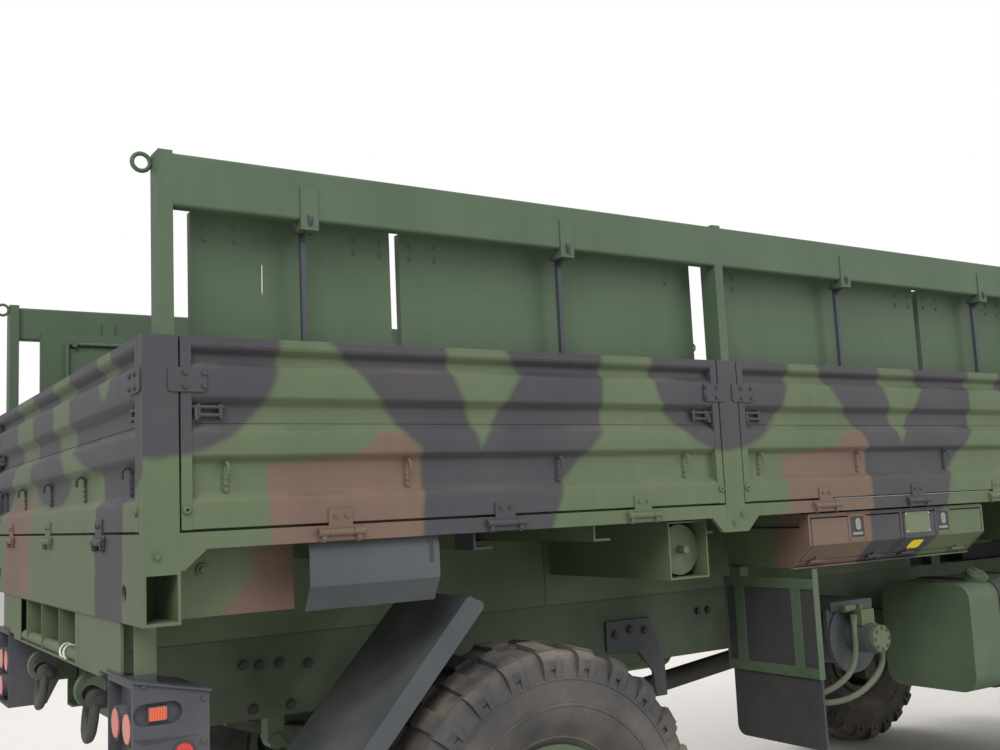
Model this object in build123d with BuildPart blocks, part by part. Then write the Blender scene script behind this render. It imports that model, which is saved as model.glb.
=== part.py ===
"""Military cargo truck with four driven wheels, a tilting cab and a drop side body.

Millimetres. X points forward, Y to the left and Z up. The origin lies on the
ground under the middle of the truck's length and width.
"""

import os

from build123d import *

os.makedirs("parts", exist_ok=True)

# Overall sizes
overall_length = 6406.0
body_width = 2438.0
wheelbase = 3900.0
half_width = body_width / 2
move_gap = 5.5  # between a moving piece and what it passes
seat_gap = 0.3  # between a loose piece and its seat
pin_play = 0.05  # radial play of a hinge
hinge_out = 5.0  # how far a side panel's hinge line lies outside its face
hinge_drop = 26.0
barrel_radius = 11.0
bed_rear_x = -overall_length / 2 + hinge_out + barrel_radius

# Wheels
rear_overhang = 1294.0
tyre_radius = 589.0
tyre_width = 395.0
bead_radius = 254.0
wheel_outer_y = 1190.0
tyre_shoulder = 36.0
sidewall_radius = 410.0
lug_depth = 20.0
lug_count = 24  # on each half of the tread
lug_width = 58.0
lug_reach = 140.0
lug_lean = 7.0
rim_wall = 12.0
rim_width = 300.0
hub_radius = 150.0
hub_reach = 52.0
spindle_radius = 60.0
rear_axle_x = bed_rear_x + rear_overhang
front_axle_x = rear_axle_x + wheelbase
wheel_y = wheel_outer_y - tyre_width / 2

# Chassis frame
rail_height = 270.0
rail_bottom = 950.0
rail_top = rail_bottom + rail_height
rail_outer_y = 430.0
rail_flange = 80.0
rail_plate = 9.0
rail_rear_x = bed_rear_x + 150.0
axle_tube_radius = 70.0
kingpin_y = 900.0
kingpin_radius = 20.0

# Cargo body
bed_length = 4185.0
panel_bottom = 1600.0
panel_height = 515.0
panel_thick = 40.0
panel_recess = 27.0
panel_end = 30.0
corner_post = 94.4
mid_post = 91.0
mid_post_x = 2047.0
post_depth = 38.0
post_inner_y = half_width - 76.0
floor_top = 1594.0
floor_thick = 40.0
side_rail_y = 1205.0
sill_bottom = 1360.0
hinge_pin = 6.0
leaf_width = 74.0
leaf_thick = 6.0
panel_top = panel_bottom + panel_height
panel_inner_y = half_width - panel_thick
hinge_z = panel_bottom - hinge_drop
floor_half_width = post_inner_y
cross_depth = 60.0
lip_height = 12.0  # of the strip behind the panels' feet
lip_out = 47.0
lip_top = floor_top + lip_height
gusset_low = panel_bottom - 103.0
gusset_thick = 16.0

# Rack above the sides
rack_top = 2614.0
rack_rail_height = 148.0
rack_rail_depth = 50.0
stake_length = 39.0
stake_depth = 76.0
rod_size = 16.0
rod_outer_y = 1171.0
seat_hinge_y = 1125.0
seat_hinge_z = 2060.0
seat_board = 28.0
seat_offset = 18.0
seat_top = 2487.0
seat_tube_radius = 14.0
seat_pin_radius = 8.0
leg_radius = 9.0
leg_pivot_z = 2440.0

# Cab
cab_half_width = 1190.0
cab_wall = 50.0
cab_rear = 4420.0
cab_roof = 2660.0
cab_front = 6300.0
cab_bottom = 1010.0
windshield_base = 1930.0
windshield_lean = 165.0
tunnel_half_width = 345.0
tunnel_top = 1565.0
frame_slot = 460.0
tilt_back = 80.0
tilt_up = 20.0
tilt_pin = 16.0
arch_radius = 770.0
arch_floor = 1370.0
door_gap = 8.0
door_hinge_ahead = 62.0
door_hinge_out = 17.0
glass_thick = 8.0

# Bumper
bumper_top = 940.0
bumper_bottom = 640.0
bumper_depth = 80.0


def from_rear(distance):
    """The place along X that lies a distance ahead of the body's rear face."""
    return bed_rear_x + distance


def block(x, y, z, mode=Mode.ADD):
    """A box between three pairs of limits, in the part that is being built."""
    with Locations(((x[0] + x[1]) / 2, (y[0] + y[1]) / 2, (z[0] + z[1]) / 2)):
        Box(abs(x[1] - x[0]), abs(y[1] - y[0]), abs(z[1] - z[0]), mode=mode)


def bar(radius, start, end, mode=Mode.ADD):
    """A round bar from one point to another, in the part that is being built."""
    run = Vector(*end) - Vector(*start)
    middle = (Vector(*end) + Vector(*start)) / 2
    with Locations(Plane(origin=middle, z_dir=run)):
        Cylinder(radius, run.length, mode=mode)


def side_plane(y):
    """An upright plane along the truck, whose own axes are X and Z."""
    return Plane(origin=(0, y, 0), x_dir=(1, 0, 0), z_dir=(0, -1, 0))


def write(piece, name):
    """Labels a finished piece and writes its STEP file."""
    piece.part.label = name
    export_step(piece.part, f"parts/{name}.step")


# Wheel profiles: along the axle from the middle of the tyre, outward positive, and from the axle
tyre_half = tyre_width / 2
rim_inner = bead_radius - rim_wall
disc_at = 96.0


# Tyre in flat facets: a carcass, its hollow sidewalls, its bore and two staggered rows of lugs
bead_half = 128.0
bead_wall = 30.0
tread_radius = tyre_radius - lug_depth
tyre_sides = 2 * lug_count
tyre_rings = (
    (-tyre_half, sidewall_radius),
    (-tyre_half + tyre_shoulder, tread_radius),
    (tyre_half - tyre_shoulder, tread_radius),
    (tyre_half, sidewall_radius),
)
with BuildPart() as tyre:
    for place, radius in tyre_rings:
        with BuildSketch(Plane.XZ.offset(place)):
            RegularPolygon(radius, tyre_sides, major_radius=False, rotation=180 / tyre_sides)
    loft(ruled=True)
    for half in (-1, 1):
        for place, radius in ((tyre_half, sidewall_radius - 4), (bead_half, bead_radius + bead_wall)):
            with BuildSketch(Plane.XZ.offset(half * place)):
                RegularPolygon(radius, tyre_sides, major_radius=False, rotation=180 / tyre_sides)
        loft(ruled=True, mode=Mode.SUBTRACT)
    with BuildSketch(Plane.XZ.offset(-bead_half)):
        RegularPolygon(bead_radius + seat_gap, lug_count, major_radius=False)
    extrude(amount=2 * bead_half, mode=Mode.SUBTRACT)
    for half in (-1, 1):
        row = Plane(origin=(0, half * (lug_reach / 2 + 12), 0), x_dir=(0, 0, -1), z_dir=(0, 1, 0))
        with Locations(row):
            with PolarLocations(tread_radius, lug_count, start_angle=0 if half < 0 else 180 / lug_count):
                Box(2 * lug_depth, lug_width, lug_reach, rotation=(half * lug_lean, 0, 0))


def build_rim(axle_x, side):
    """A wheel rim with its dished disc and hub."""
    centre = Plane(origin=(axle_x, side * wheel_y, tyre_radius), x_dir=(0, side, 0), z_dir=(side, 0, 0))
    half = rim_width / 2 - 16
    with BuildPart() as rim:
        with BuildSketch(centre):
            with BuildLine():
                Polyline(
                    (-half - 12, bead_radius + 22),
                    (-half - 12, rim_inner),
                    (disc_at - 34, rim_inner),
                    (disc_at - 34, hub_radius + 18),
                    (disc_at - 70, hub_radius),
                    (disc_at - 70, spindle_radius + pin_play),
                    (disc_at + hub_reach - 12, spindle_radius + pin_play),
                    (disc_at + hub_reach - 12, 0),
                    (disc_at + hub_reach, 0),
                    (disc_at + hub_reach, hub_radius - 42),
                    (disc_at + hub_reach - 16, hub_radius - 26),
                    (disc_at, hub_radius),
                    (disc_at, rim_inner - 20),
                    (half + 12, rim_inner),
                    (half + 12, bead_radius + 22),
                    (half, bead_radius + 22),
                    (half, bead_radius),
                    (-half, bead_radius),
                    (-half, bead_radius + 22),
                    close=True,
                )
            make_face()
        revolve(axis=Axis((axle_x, side * wheel_y, tyre_radius), (0, 1, 0)))
    return rim


wheels = [
    ("rear_right", rear_axle_x, -1),
    ("rear_left", rear_axle_x, 1),
    ("front_right", front_axle_x, -1),
    ("front_left", front_axle_x, 1),
]
for corner, axle_x, side in wheels:
    with BuildPart() as placed_tyre:
        with Locations((axle_x, side * wheel_y, tyre_radius)):
            add(tyre.part)
    write(placed_tyre, f"tyre_{corner}")
    write(build_rim(axle_x, side), f"rim_{corner}")

# Axles with their leaf springs
spindle_end = wheel_y + disc_at + hub_reach - 14
spring_y = 390.0
spring_width = 76.0
spring_leaf = 22.0
spring_half = 640.0
spring_rise = 150.0
spring_low = tyre_radius + axle_tube_radius + 2


def add_springs(axle_x):
    """The two leaf packs of an axle, their eyes and U bolts' blocks."""
    for side in (-1, 1):
        for leaf, reach in enumerate((1.0, 0.86, 0.6)):
            low = spring_low + (2 - leaf) * spring_leaf
            rise = spring_rise * reach * reach
            with BuildSketch(side_plane(side * spring_y)) as leaf_face:
                with BuildLine():
                    ends = [(axle_x - spring_half * reach, low + rise), (axle_x + spring_half * reach, low + rise)]
                    ThreePointArc(ends[0], (axle_x, low), ends[1])
                    Line(ends[1], (ends[1][0], ends[1][1] + spring_leaf))
                    ThreePointArc(
                        (ends[1][0], ends[1][1] + spring_leaf),
                        (axle_x, low + spring_leaf),
                        (ends[0][0], ends[0][1] + spring_leaf),
                    )
                    Line((ends[0][0], ends[0][1] + spring_leaf), ends[0])
                make_face()
            extrude(leaf_face.sketch, amount=spring_width / 2, both=True)
        for end in (-1, 1):
            eye_z = spring_low + 2 * spring_leaf + spring_rise + spring_leaf / 2
            eye_x = axle_x + end * spring_half
            bar(26, (eye_x, side * (spring_y - spring_width / 2), eye_z), (eye_x, side * (spring_y + spring_width / 2), eye_z))
            block(
                (eye_x - 30, eye_x + 30),
                (side * (spring_y - spring_width / 2 + 8), side * (spring_y + spring_width / 2 - 8)),
                (eye_z, rail_bottom),
            )
        block(
            (axle_x - 80, axle_x + 80),
            (side * (spring_y - 46), side * (spring_y + 46)),
            (tyre_radius + 20, spring_low + 3 * spring_leaf + 16),
        )


with BuildPart() as rear_axle:
    bar(axle_tube_radius, (rear_axle_x, -wheel_y + 60, tyre_radius), (rear_axle_x, wheel_y - 60, tyre_radius))
    bar(spindle_radius, (rear_axle_x, -spindle_end, tyre_radius), (rear_axle_x, spindle_end, tyre_radius))
    with Locations((rear_axle_x, 0, tyre_radius)):
        Sphere(175)
    bar(80, (rear_axle_x, 0, tyre_radius + 10), (rear_axle_x + 290, 0, tyre_radius + 40))
    add_springs(rear_axle_x)
write(rear_axle, "rear_axle")

fork_half = 185.0
fork_plate = 30.0
barrel_half = fork_half - fork_plate - move_gap
with BuildPart() as front_axle:
    bar(axle_tube_radius, (front_axle_x, -790, tyre_radius), (front_axle_x, 790, tyre_radius))
    with Locations((front_axle_x, 160, tyre_radius)):
        Sphere(165)
    bar(75, (front_axle_x, 160, tyre_radius + 10), (front_axle_x - 280, 160, tyre_radius + 40))
    for side in (-1, 1):
        block(
            (front_axle_x - 55, front_axle_x + 55),
            (side * 775, side * 815),
            (tyre_radius - fork_half, tyre_radius + fork_half),
        )
        for level in (-1, 1):
            block(
                (front_axle_x - 55, front_axle_x + 55),
                (side * 800, side * (kingpin_y + 40)),
                (tyre_radius + level * (fork_half - fork_plate), tyre_radius + level * fork_half),
            )
        bar(
            kingpin_radius,
            (front_axle_x, side * kingpin_y, tyre_radius - fork_half + 5),
            (front_axle_x, side * kingpin_y, tyre_radius + fork_half - 5),
        )
    add_springs(front_axle_x)
write(front_axle, "front_axle")

for label, side in (("right", -1), ("left", 1)):
    with BuildPart() as knuckle:
        pin_line = ((front_axle_x, side * kingpin_y, tyre_radius - barrel_half),)
        pin_line += ((front_axle_x, side * kingpin_y, tyre_radius + barrel_half),)
        bar(46, *pin_line)
        bar(
            spindle_radius,
            (front_axle_x, side * kingpin_y, tyre_radius),
            (front_axle_x, side * spindle_end, tyre_radius),
        )
        block(
            (front_axle_x - 190, front_axle_x),
            (side * (kingpin_y - 30), side * (kingpin_y + 10)),
            (tyre_radius - 110, tyre_radius - 75),
        )
        bar(kingpin_radius + pin_play, *pin_line, mode=Mode.SUBTRACT)
    write(knuckle, f"knuckle_{label}")

# Chassis frame
rail_front_x = from_rear(cab_front) - tilt_back + 15
tilt_x = from_rear(cab_front) - tilt_back
tilt_z = cab_bottom + tilt_up
shackle_y = 400.0
tow_plate = 36.0
tow_eye_place = 62.0
tow_eye_z = 1110.0
tow_eye_radius = 42.0
tow_eye_wall = 16.0
with BuildPart() as frame_rails:
    with BuildSketch(Plane.YZ.offset(rail_rear_x)):
        for side in (-1, 1):
            with Locations((side * (rail_outer_y - rail_flange / 2), rail_bottom + rail_height / 2)):
                Rectangle(rail_flange, rail_height)
            inner = (side * (rail_outer_y - rail_plate - rail_flange / 2), rail_bottom + rail_height / 2)
            with Locations(inner):
                Rectangle(rail_flange, rail_height - 2 * rail_plate, mode=Mode.SUBTRACT)
    extrude(amount=rail_front_x - rail_rear_x)
    for side in (-1, 1):
        # Pin of the cab's tilt hinge, bumper bracket and rear tow shackle
        bar(tilt_pin, (tilt_x, side * (rail_outer_y - rail_plate), tilt_z), (tilt_x, side * (frame_slot + 20), tilt_z))
        block(
            (tilt_x - 160, from_rear(cab_front) + 10),
            (side * (rail_outer_y - 50), side * rail_outer_y),
            (bumper_bottom + 120, rail_bottom - 15),
        )
        block(
            (tilt_x - 160, rail_front_x),
            (side * (rail_outer_y - 50), side * rail_outer_y),
            (rail_bottom - 15, rail_bottom),
        )
        # Tow plate behind the rail, rounded about the eye of the rear shackle
        eye_line = [(from_rear(tow_eye_place), side * (shackle_y + end * tow_plate / 2), tow_eye_z) for end in (-1, 1)]
        eye_outer = tow_eye_radius + tow_eye_wall
        block(
            (from_rear(tow_eye_place), from_rear(175)),
            (side * (shackle_y - tow_plate / 2), side * (shackle_y + tow_plate / 2)),
            (tow_eye_z - eye_outer, tow_eye_z + eye_outer),
        )
        bar(eye_outer, *eye_line)
        block(
            (rail_rear_x, from_rear(175)),
            (side * shackle_y, side * (rail_outer_y - rail_plate + 1)),
            (tow_eye_z - 75, tow_eye_z + 75),
        )
        bar(
            tow_eye_radius,
            (from_rear(tow_eye_place), side * (shackle_y - tow_plate), tow_eye_z),
            (from_rear(tow_eye_place), side * (shackle_y + tow_plate), tow_eye_z),
            mode=Mode.SUBTRACT,
        )
write(frame_rails, "frame_rails")

with BuildPart() as frame_crossmembers:
    # Crossmembers: place from the rear, height
    for place, height in ((180, 240), (880, 180), (1760, 180), (2480, 180), (3350, 180), (6140, 90)):
        block(
            (from_rear(place), from_rear(place + 70)),
            (-rail_outer_y + rail_plate, rail_outer_y - rail_plate),
            (rail_bottom + rail_plate + 5, rail_bottom + rail_plate + 5 + height),
        )
        block(
            (from_rear(place + 8), from_rear(place + 71)),
            (-rail_outer_y + rail_flange, rail_outer_y - rail_flange),
            (rail_bottom + rail_plate + 13, rail_bottom + rail_plate + height - 3),
            mode=Mode.SUBTRACT,
        )
write(frame_crossmembers, "frame_crossmembers")

# Engine, radiator, gearboxes and shafts
with BuildPart() as drivetrain:
    with BuildSketch(Plane.YZ.offset(from_rear(4720))):
        with Locations((0, 1180)):
            Rectangle(600, 560)
        chamfer(vertices().group_by(Axis.Z)[0], 110)
        chamfer(vertices().group_by(Axis.Z)[-1], 60)
    extrude(amount=1130)
    block((from_rear(5990), from_rear(6090)), (-300, 300), (1000, 1480))
    block((from_rear(5840), from_rear(6000)), (-60, 60), (1150, 1300))
    bar(230, (from_rear(4330), 0, 1120), (from_rear(4730), 0, 1120))
    bar(150, (from_rear(3950), 0, 1120), (from_rear(4340), 0, 1120))
    block((from_rear(3560), from_rear(3960)), (-150, 230), (760, 1200))
    bar(45, (rear_axle_x + 300, 0, tyre_radius + 41), (from_rear(3570), 0, 860))
    bar(40, (front_axle_x - 290, 160, tyre_radius + 41), (from_rear(3950), 160, 860))
    block((from_rear(3650), from_rear(3870)), (-rail_outer_y + rail_plate, rail_outer_y - rail_plate), (1130, 1170))
    block((from_rear(4900), from_rear(5000)), (-rail_outer_y + rail_plate, rail_outer_y - rail_plate), (1000, 1080))
    block((from_rear(6000), from_rear(6080)), (-rail_outer_y + rail_plate, rail_outer_y - rail_plate), (1010, 1060))
write(drivetrain, "drivetrain")

# Fuel tank on the right
tank_x = (from_rear(3505), from_rear(4300))
tank_z = (740.0, 1200.0)
tank_y = (-1150.0, -700.0)
with BuildPart() as fuel_tank:
    with BuildSketch(Plane.YZ.offset(tank_x[0])):
        with Locations(((tank_y[0] + tank_y[1]) / 2, (tank_z[0] + tank_z[1]) / 2)):
            RectangleRounded(tank_y[1] - tank_y[0], tank_z[1] - tank_z[0], 70)
    extrude(amount=tank_x[1] - tank_x[0])
    for place in (tank_x[0] + 245, tank_x[1] - 200):
        with BuildSketch(Plane.YZ.offset(place - 25)):
            with Locations(((tank_y[0] + tank_y[1]) / 2, (tank_z[0] + tank_z[1]) / 2)):
                RectangleRounded(tank_y[1] - tank_y[0] + 12, tank_z[1] - tank_z[0] + 12, 76)
        extrude(amount=50)
        block((place - 30, place + 30), (tank_y[1] - 60, -rail_outer_y), (tank_z[0] + 240, tank_z[0] + 300))
    bar(45, (from_rear(3680), tank_y[0] + 90, tank_z[1] - 10), (from_rear(3680), tank_y[0] + 60, tank_z[1] + 35))
write(fuel_tank, "fuel_tank")

# Battery box and air tanks on the left
with BuildPart() as left_boxes:
    with BuildSketch(Plane.YZ.offset(from_rear(3505))):
        with Locations((925, 985)):
            Rectangle(450, 430)
        fillet(vertices(), 25)
    extrude(amount=795)
    block((from_rear(3700), from_rear(4100)), (rail_outer_y, 710), (980, 1050))
    for level in (820, 1100):
        bar(130, (from_rear(2560), 760, level), (from_rear(3380), 760, level))
    for place in (2700, 3200):
        block((from_rear(place), from_rear(place + 50)), (rail_outer_y, 760), (810, 1110))
write(left_boxes, "left_boxes")

# Front bumper with its lamps and the steps behind its ends
bumper_x = (from_rear(cab_front) + 10, from_rear(cab_front) + 10 + bumper_depth)
lamp_y = 930.0
lamp_radius = 92.0
with BuildPart() as front_bumper:
    with BuildSketch(Plane.XY.offset(bumper_bottom)):
        with BuildLine():
            Polyline(
                (bumper_x[0], -half_width + 130),
                (bumper_x[0] - 120, -half_width + 12),
                (bumper_x[0] - 110, -half_width),
                (bumper_x[0] - 40, -half_width),
                (bumper_x[1], -half_width + 150),
                (bumper_x[1], half_width - 150),
                (bumper_x[0] - 40, half_width),
                (bumper_x[0] - 110, half_width),
                (bumper_x[0] - 120, half_width - 12),
                (bumper_x[0], half_width - 130),
                close=True,
            )
        make_face()
    extrude(amount=bumper_top - bumper_bottom)
    block((bumper_x[0] - 200, bumper_x[1] - 14), (-rail_outer_y + 60, rail_outer_y - 60), (700, 900), mode=Mode.SUBTRACT)
    for side in (-1, 1):
        bar(
            lamp_radius,
            (bumper_x[1] - 55, side * lamp_y, 800),
            (bumper_x[1] + 10, side * lamp_y, 800),
            mode=Mode.SUBTRACT,
        )
        bar(lamp_radius - 14, (bumper_x[1] - 56, side * lamp_y, 800), (bumper_x[1] - 18, side * lamp_y, 800))
        block((bumper_x[1] - 40, bumper_x[1]), (side * 700, side * 800), (770, 850), mode=Mode.SUBTRACT)
        # Entry steps hung behind the bumper's ends
        for level in (520, 760):
            block((from_rear(5900), from_rear(6215)), (side * 1000, side * 1205), (level, level + 25))
        for place in (5900, 6195):
            block((from_rear(place), from_rear(place + 20)), (side * 1000, side * 1020), (520, 900))
            block((from_rear(place), from_rear(place + 20)), (side * 1185, side * 1205), (520, 785))
        block((from_rear(5900), bumper_x[0] + 10), (side * 1000, side * 1020), (860, 900))
    for side in (-1, 1):
        block((bumper_x[0] - 4, bumper_x[0] + 10), (side * 330, side * 380), (660, 700))
write(front_bumper, "front_bumper")

# Cargo body: floor, frame, posts and the fixed front wall
bed_front_x = from_rear(bed_length)
side_hinges = (549.0, 1104.0, 1660.0, 2571.0, 3126.0, 3682.0)
rear_hinges = (-750.0, 0.0, 750.0)
post_places = ((0.0, corner_post), (mid_post_x, mid_post_x + mid_post), (bed_length - corner_post, bed_length))
sill_depth = 96.0
# Gussets under the posts: where each starts and ends at the rail, where at its foot
gussets = (
    (0.0, 167.0, 0.0, 107.0),
    (1977.0, 2206.0, 2026.0, 2150.0),
    (bed_length - 167.0, bed_length, bed_length - 107.0, bed_length),
)
# Square outriggers beside the long sills, open at their ends
outrigger_x = (from_rear(1825.0), from_rear(2008.0))
outrigger_z = (1342.0, 1543.0)
outrigger_end = 1150.0
outrigger_wall = 6.0
cross_places = (560.0, 1030.0, 1500.0, 1970.0, 2500.0, 3020.0, 3540.0)
lug_length = 32.0
lug_shift = leaf_width / 2 + 1 + lug_length / 2
cross_bottom = floor_top - floor_thick - cross_depth

with BuildPart() as bed_floor:
    block(
        (from_rear(sill_depth) + seat_gap, bed_front_x - sill_depth - seat_gap),
        (-floor_half_width + seat_gap, floor_half_width - seat_gap),
        (floor_top - floor_thick, floor_top),
    )
    for row in range(1, 12):
        y = -floor_half_width + row * floor_half_width / 6
        block((from_rear(sill_depth), bed_front_x - corner_post), (y - 2, y + 2), (floor_top - 3, floor_top), mode=Mode.SUBTRACT)
write(bed_floor, "bed_floor")

with BuildPart() as bed_frame:
    # Rear and front sills, then the side rails
    for place in (0.0, bed_length - sill_depth):
        block((from_rear(place), from_rear(place + sill_depth)), (-half_width, half_width), (sill_bottom, floor_top))
    for side in (-1, 1):
        block(
            (from_rear(sill_depth), bed_front_x - sill_depth),
            (side * floor_half_width, side * side_rail_y),
            (floor_top - 46, floor_top),
        )
        block(
            (from_rear(corner_post - 1), bed_front_x - corner_post + 1),
            (side * floor_half_width, side * (half_width - lip_out)),
            (floor_top - 1, lip_top),
        )
        # The sills are open channels at their ends
        for place in (8.0, bed_length - sill_depth + 8):
            block(
                (from_rear(place), from_rear(place + sill_depth - 16)),
                (side * (half_width - 220), side * (half_width + 1)),
                (sill_bottom + 8, sill_bottom + 128),
                mode=Mode.SUBTRACT,
            )
        bar(24, (from_rear(-1), side * 1028, 1438), (from_rear(20), side * 1028, 1438), mode=Mode.SUBTRACT)
        # Long sills that stand on the chassis rails
        block((from_rear(sill_depth), bed_front_x - sill_depth), (side * 350, side * 430), (rail_top, cross_bottom))
    with BuildSketch(Plane.XZ.offset(-side_rail_y + 60)):
        for place in cross_places:
            with BuildLine():
                Polyline(
                    (from_rear(place), floor_top - floor_thick),
                    (from_rear(place + 70), floor_top - floor_thick),
                    (from_rear(place + 70), floor_top - floor_thick - 8),
                    (from_rear(place + 8), floor_top - floor_thick - 8),
                    (from_rear(place + 8), cross_bottom + 8),
                    (from_rear(place + 70), cross_bottom + 8),
                    (from_rear(place + 70), cross_bottom),
                    (from_rear(place), cross_bottom),
                    close=True,
                )
            make_face()
    extrude(amount=2 * side_rail_y - 120)
    # Strip behind the tailgate's foot
    block((from_rear(lip_out + 5), from_rear(sill_depth)), (-floor_half_width, floor_half_width), (floor_top - 1, lip_top))
    for side in (-1, 1):
        with BuildSketch(side_plane(side * half_width)):
            for rail_start, rail_end, foot_start, foot_end in gussets:
                with BuildLine():
                    Polyline(
                        (from_rear(rail_start), floor_top - 44),
                        (from_rear(rail_end), floor_top - 44),
                        (from_rear(foot_end), gusset_low),
                        (from_rear(foot_start), gusset_low),
                        close=True,
                    )
                make_face()
        extrude(amount=side * gusset_thick)
        block(outrigger_x, (side * (rail_outer_y - 5), side * outrigger_end), outrigger_z)
        block(
            (outrigger_x[0] + outrigger_wall, outrigger_x[1] - outrigger_wall),
            (side * (rail_outer_y + 26), side * (outrigger_end + 1)),
            (outrigger_z[0] + outrigger_wall, outrigger_z[1] - outrigger_wall),
            mode=Mode.SUBTRACT,
        )
        # Round plate and stud inside the outrigger
        outrigger_middle = (sum(outrigger_x) / 2, sum(outrigger_z) / 2)
        for radius, inner, outer in ((89.0, 62.0, 50.0), (13.0, 51.0, 12.0)):
            bar(
                radius,
                (outrigger_middle[0], side * (outrigger_end - inner), outrigger_middle[1]),
                (outrigger_middle[0], side * (outrigger_end - outer), outrigger_middle[1]),
            )
    # Posts
    for index, (start, end) in enumerate(post_places):
        inner_start = start if index == 1 else (corner_post / 2 - 1 if index == 0 else start)
        inner_end = end if index < 2 else end - corner_post / 2 + 1
        for side in (-1, 1):
            block(
                (from_rear(start), from_rear(end)),
                (side * half_width, side * (half_width - post_depth)),
                (floor_top - 94, panel_top),
            )
            block(
                (from_rear(inner_start), from_rear(inner_end)),
                (side * (half_width - post_depth), side * post_inner_y),
                (floor_top - 30, panel_top),
            )
    # Fixed front wall
    block(
        (bed_front_x - 46, bed_front_x),
        (-half_width + post_depth - 1, half_width - post_depth + 1),
        (floor_top - 1, panel_top),
    )
    # Lower halves of the hinges: two lugs and the pin
    for side in (-1, 1):
        line_y = side * (half_width + hinge_out)
        lug_foot = side * (side_rail_y - 4)
        lug_places = [from_rear(place + lug * lug_shift) for place in side_hinges for lug in (-1, 1)]
        with Locations(*[(x, (lug_foot + line_y) / 2, hinge_z - barrel_radius / 2) for x in lug_places]):
            Box(lug_length, abs(line_y - lug_foot), barrel_radius)
        with Locations(*[Plane(origin=(x, line_y, hinge_z), z_dir=(1, 0, 0)) for x in lug_places]):
            Cylinder(barrel_radius, lug_length)
        with Locations(*[Plane(origin=(from_rear(place), line_y, hinge_z), z_dir=(1, 0, 0)) for place in side_hinges]):
            Cylinder(hinge_pin, leaf_width + 40)
    with Locations(*[(from_rear(6.5), y, (hinge_z + floor_top - 25) / 2) for y in rear_hinges]):
        Box(15, leaf_width + 2, floor_top + 27 - hinge_z, mode=Mode.SUBTRACT)
    with Locations(
        *[
            Plane(origin=(from_rear(-hinge_out), y + lug * lug_shift, hinge_z), z_dir=(0, 1, 0))
            for y in rear_hinges
            for lug in (-1, 1)
        ]
    ):
        Cylinder(barrel_radius, lug_length)
    with Locations(*[Plane(origin=(from_rear(-hinge_out), y, hinge_z), z_dir=(0, 1, 0)) for y in rear_hinges]):
        Cylinder(hinge_pin, leaf_width + 40)
write(bed_frame, "bed_frame")

# Ribbed side panels. Bands that lie back from the face: low edge, high edge, slope
recess_bands = ((75.0, 194.0, 19.0), (257.0, 351.0, 22.0), (433.0, 485.0, 16.0))


def panel_section():
    """The section of a panel as points: how far in from the outer face, height over its lower edge."""
    points = [(0.0, 0.0)]
    for low, high, slope in recess_bands:
        points += [(0.0, low), (panel_recess, low + slope), (panel_recess, high - slope), (0.0, high)]
    points += [(0.0, panel_height), (panel_thick, panel_height), (panel_thick, 0.0)]
    return points


def build_dropside(start, end, side, hinges):
    """A side panel that folds down and out, with its end frames and hinge leaves."""
    hinge_y = side * (half_width + hinge_out)
    with BuildPart() as panel:
        with BuildSketch(Plane.YZ.offset(from_rear(start))):
            with BuildLine():
                Polyline(*[(side * (half_width - depth), panel_bottom + height) for depth, height in panel_section()], close=True)
            make_face()
        extrude(amount=end - start)
        for at in (start, end - panel_end):
            block(
                (from_rear(at), from_rear(at + panel_end)),
                (side * half_width, side * panel_inner_y),
                (panel_bottom, panel_top),
            )
        for place in hinges:
            leaf = (from_rear(place - leaf_width / 2), from_rear(place + leaf_width / 2))
            block(leaf, (side * (half_width - 1), side * (half_width + leaf_thick)), (hinge_z + 4, panel_bottom + 40))
            bar(barrel_radius, (leaf[0], hinge_y, hinge_z), (leaf[1], hinge_y, hinge_z))
            bar(hinge_pin + pin_play, (leaf[0] - 1, hinge_y, hinge_z), (leaf[1] + 1, hinge_y, hinge_z), mode=Mode.SUBTRACT)
    return panel


side_sections = (
    ("rear", corner_post + move_gap, mid_post_x - move_gap, side_hinges[:3]),
    ("front", mid_post_x + mid_post + move_gap, bed_length - corner_post - move_gap, side_hinges[3:]),
)
for label, side in (("right", -1), ("left", 1)):
    for section, start, end, hinges in side_sections:
        write(build_dropside(start, end, side, hinges), f"dropside_{label}_{section}")

tailgate_half = half_width - post_depth - move_gap
with BuildPart() as tailgate:
    with BuildSketch(Plane.XZ.offset(-tailgate_half)):
        with BuildLine():
            Polyline(*[(from_rear(depth), panel_bottom + height) for depth, height in panel_section()], close=True)
        make_face()
    extrude(amount=2 * tailgate_half)
    for side in (-1, 1):
        block(
            (from_rear(0), from_rear(panel_thick)),
            (side * tailgate_half, side * (tailgate_half - panel_end)),
            (panel_bottom, panel_top),
        )
    for y in rear_hinges:
        leaf = (y - leaf_width / 2, y + leaf_width / 2)
        block((from_rear(-leaf_thick), from_rear(1)), leaf, (hinge_z + 4, panel_bottom + 40))
        bar(barrel_radius, (from_rear(-hinge_out), leaf[0], hinge_z), (from_rear(-hinge_out), leaf[1], hinge_z))
        bar(
            hinge_pin + pin_play,
            (from_rear(-hinge_out), leaf[0] - 1, hinge_z),
            (from_rear(-hinge_out), leaf[1] + 1, hinge_z),
            mode=Mode.SUBTRACT,
        )
write(tailgate, "tailgate")

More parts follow.
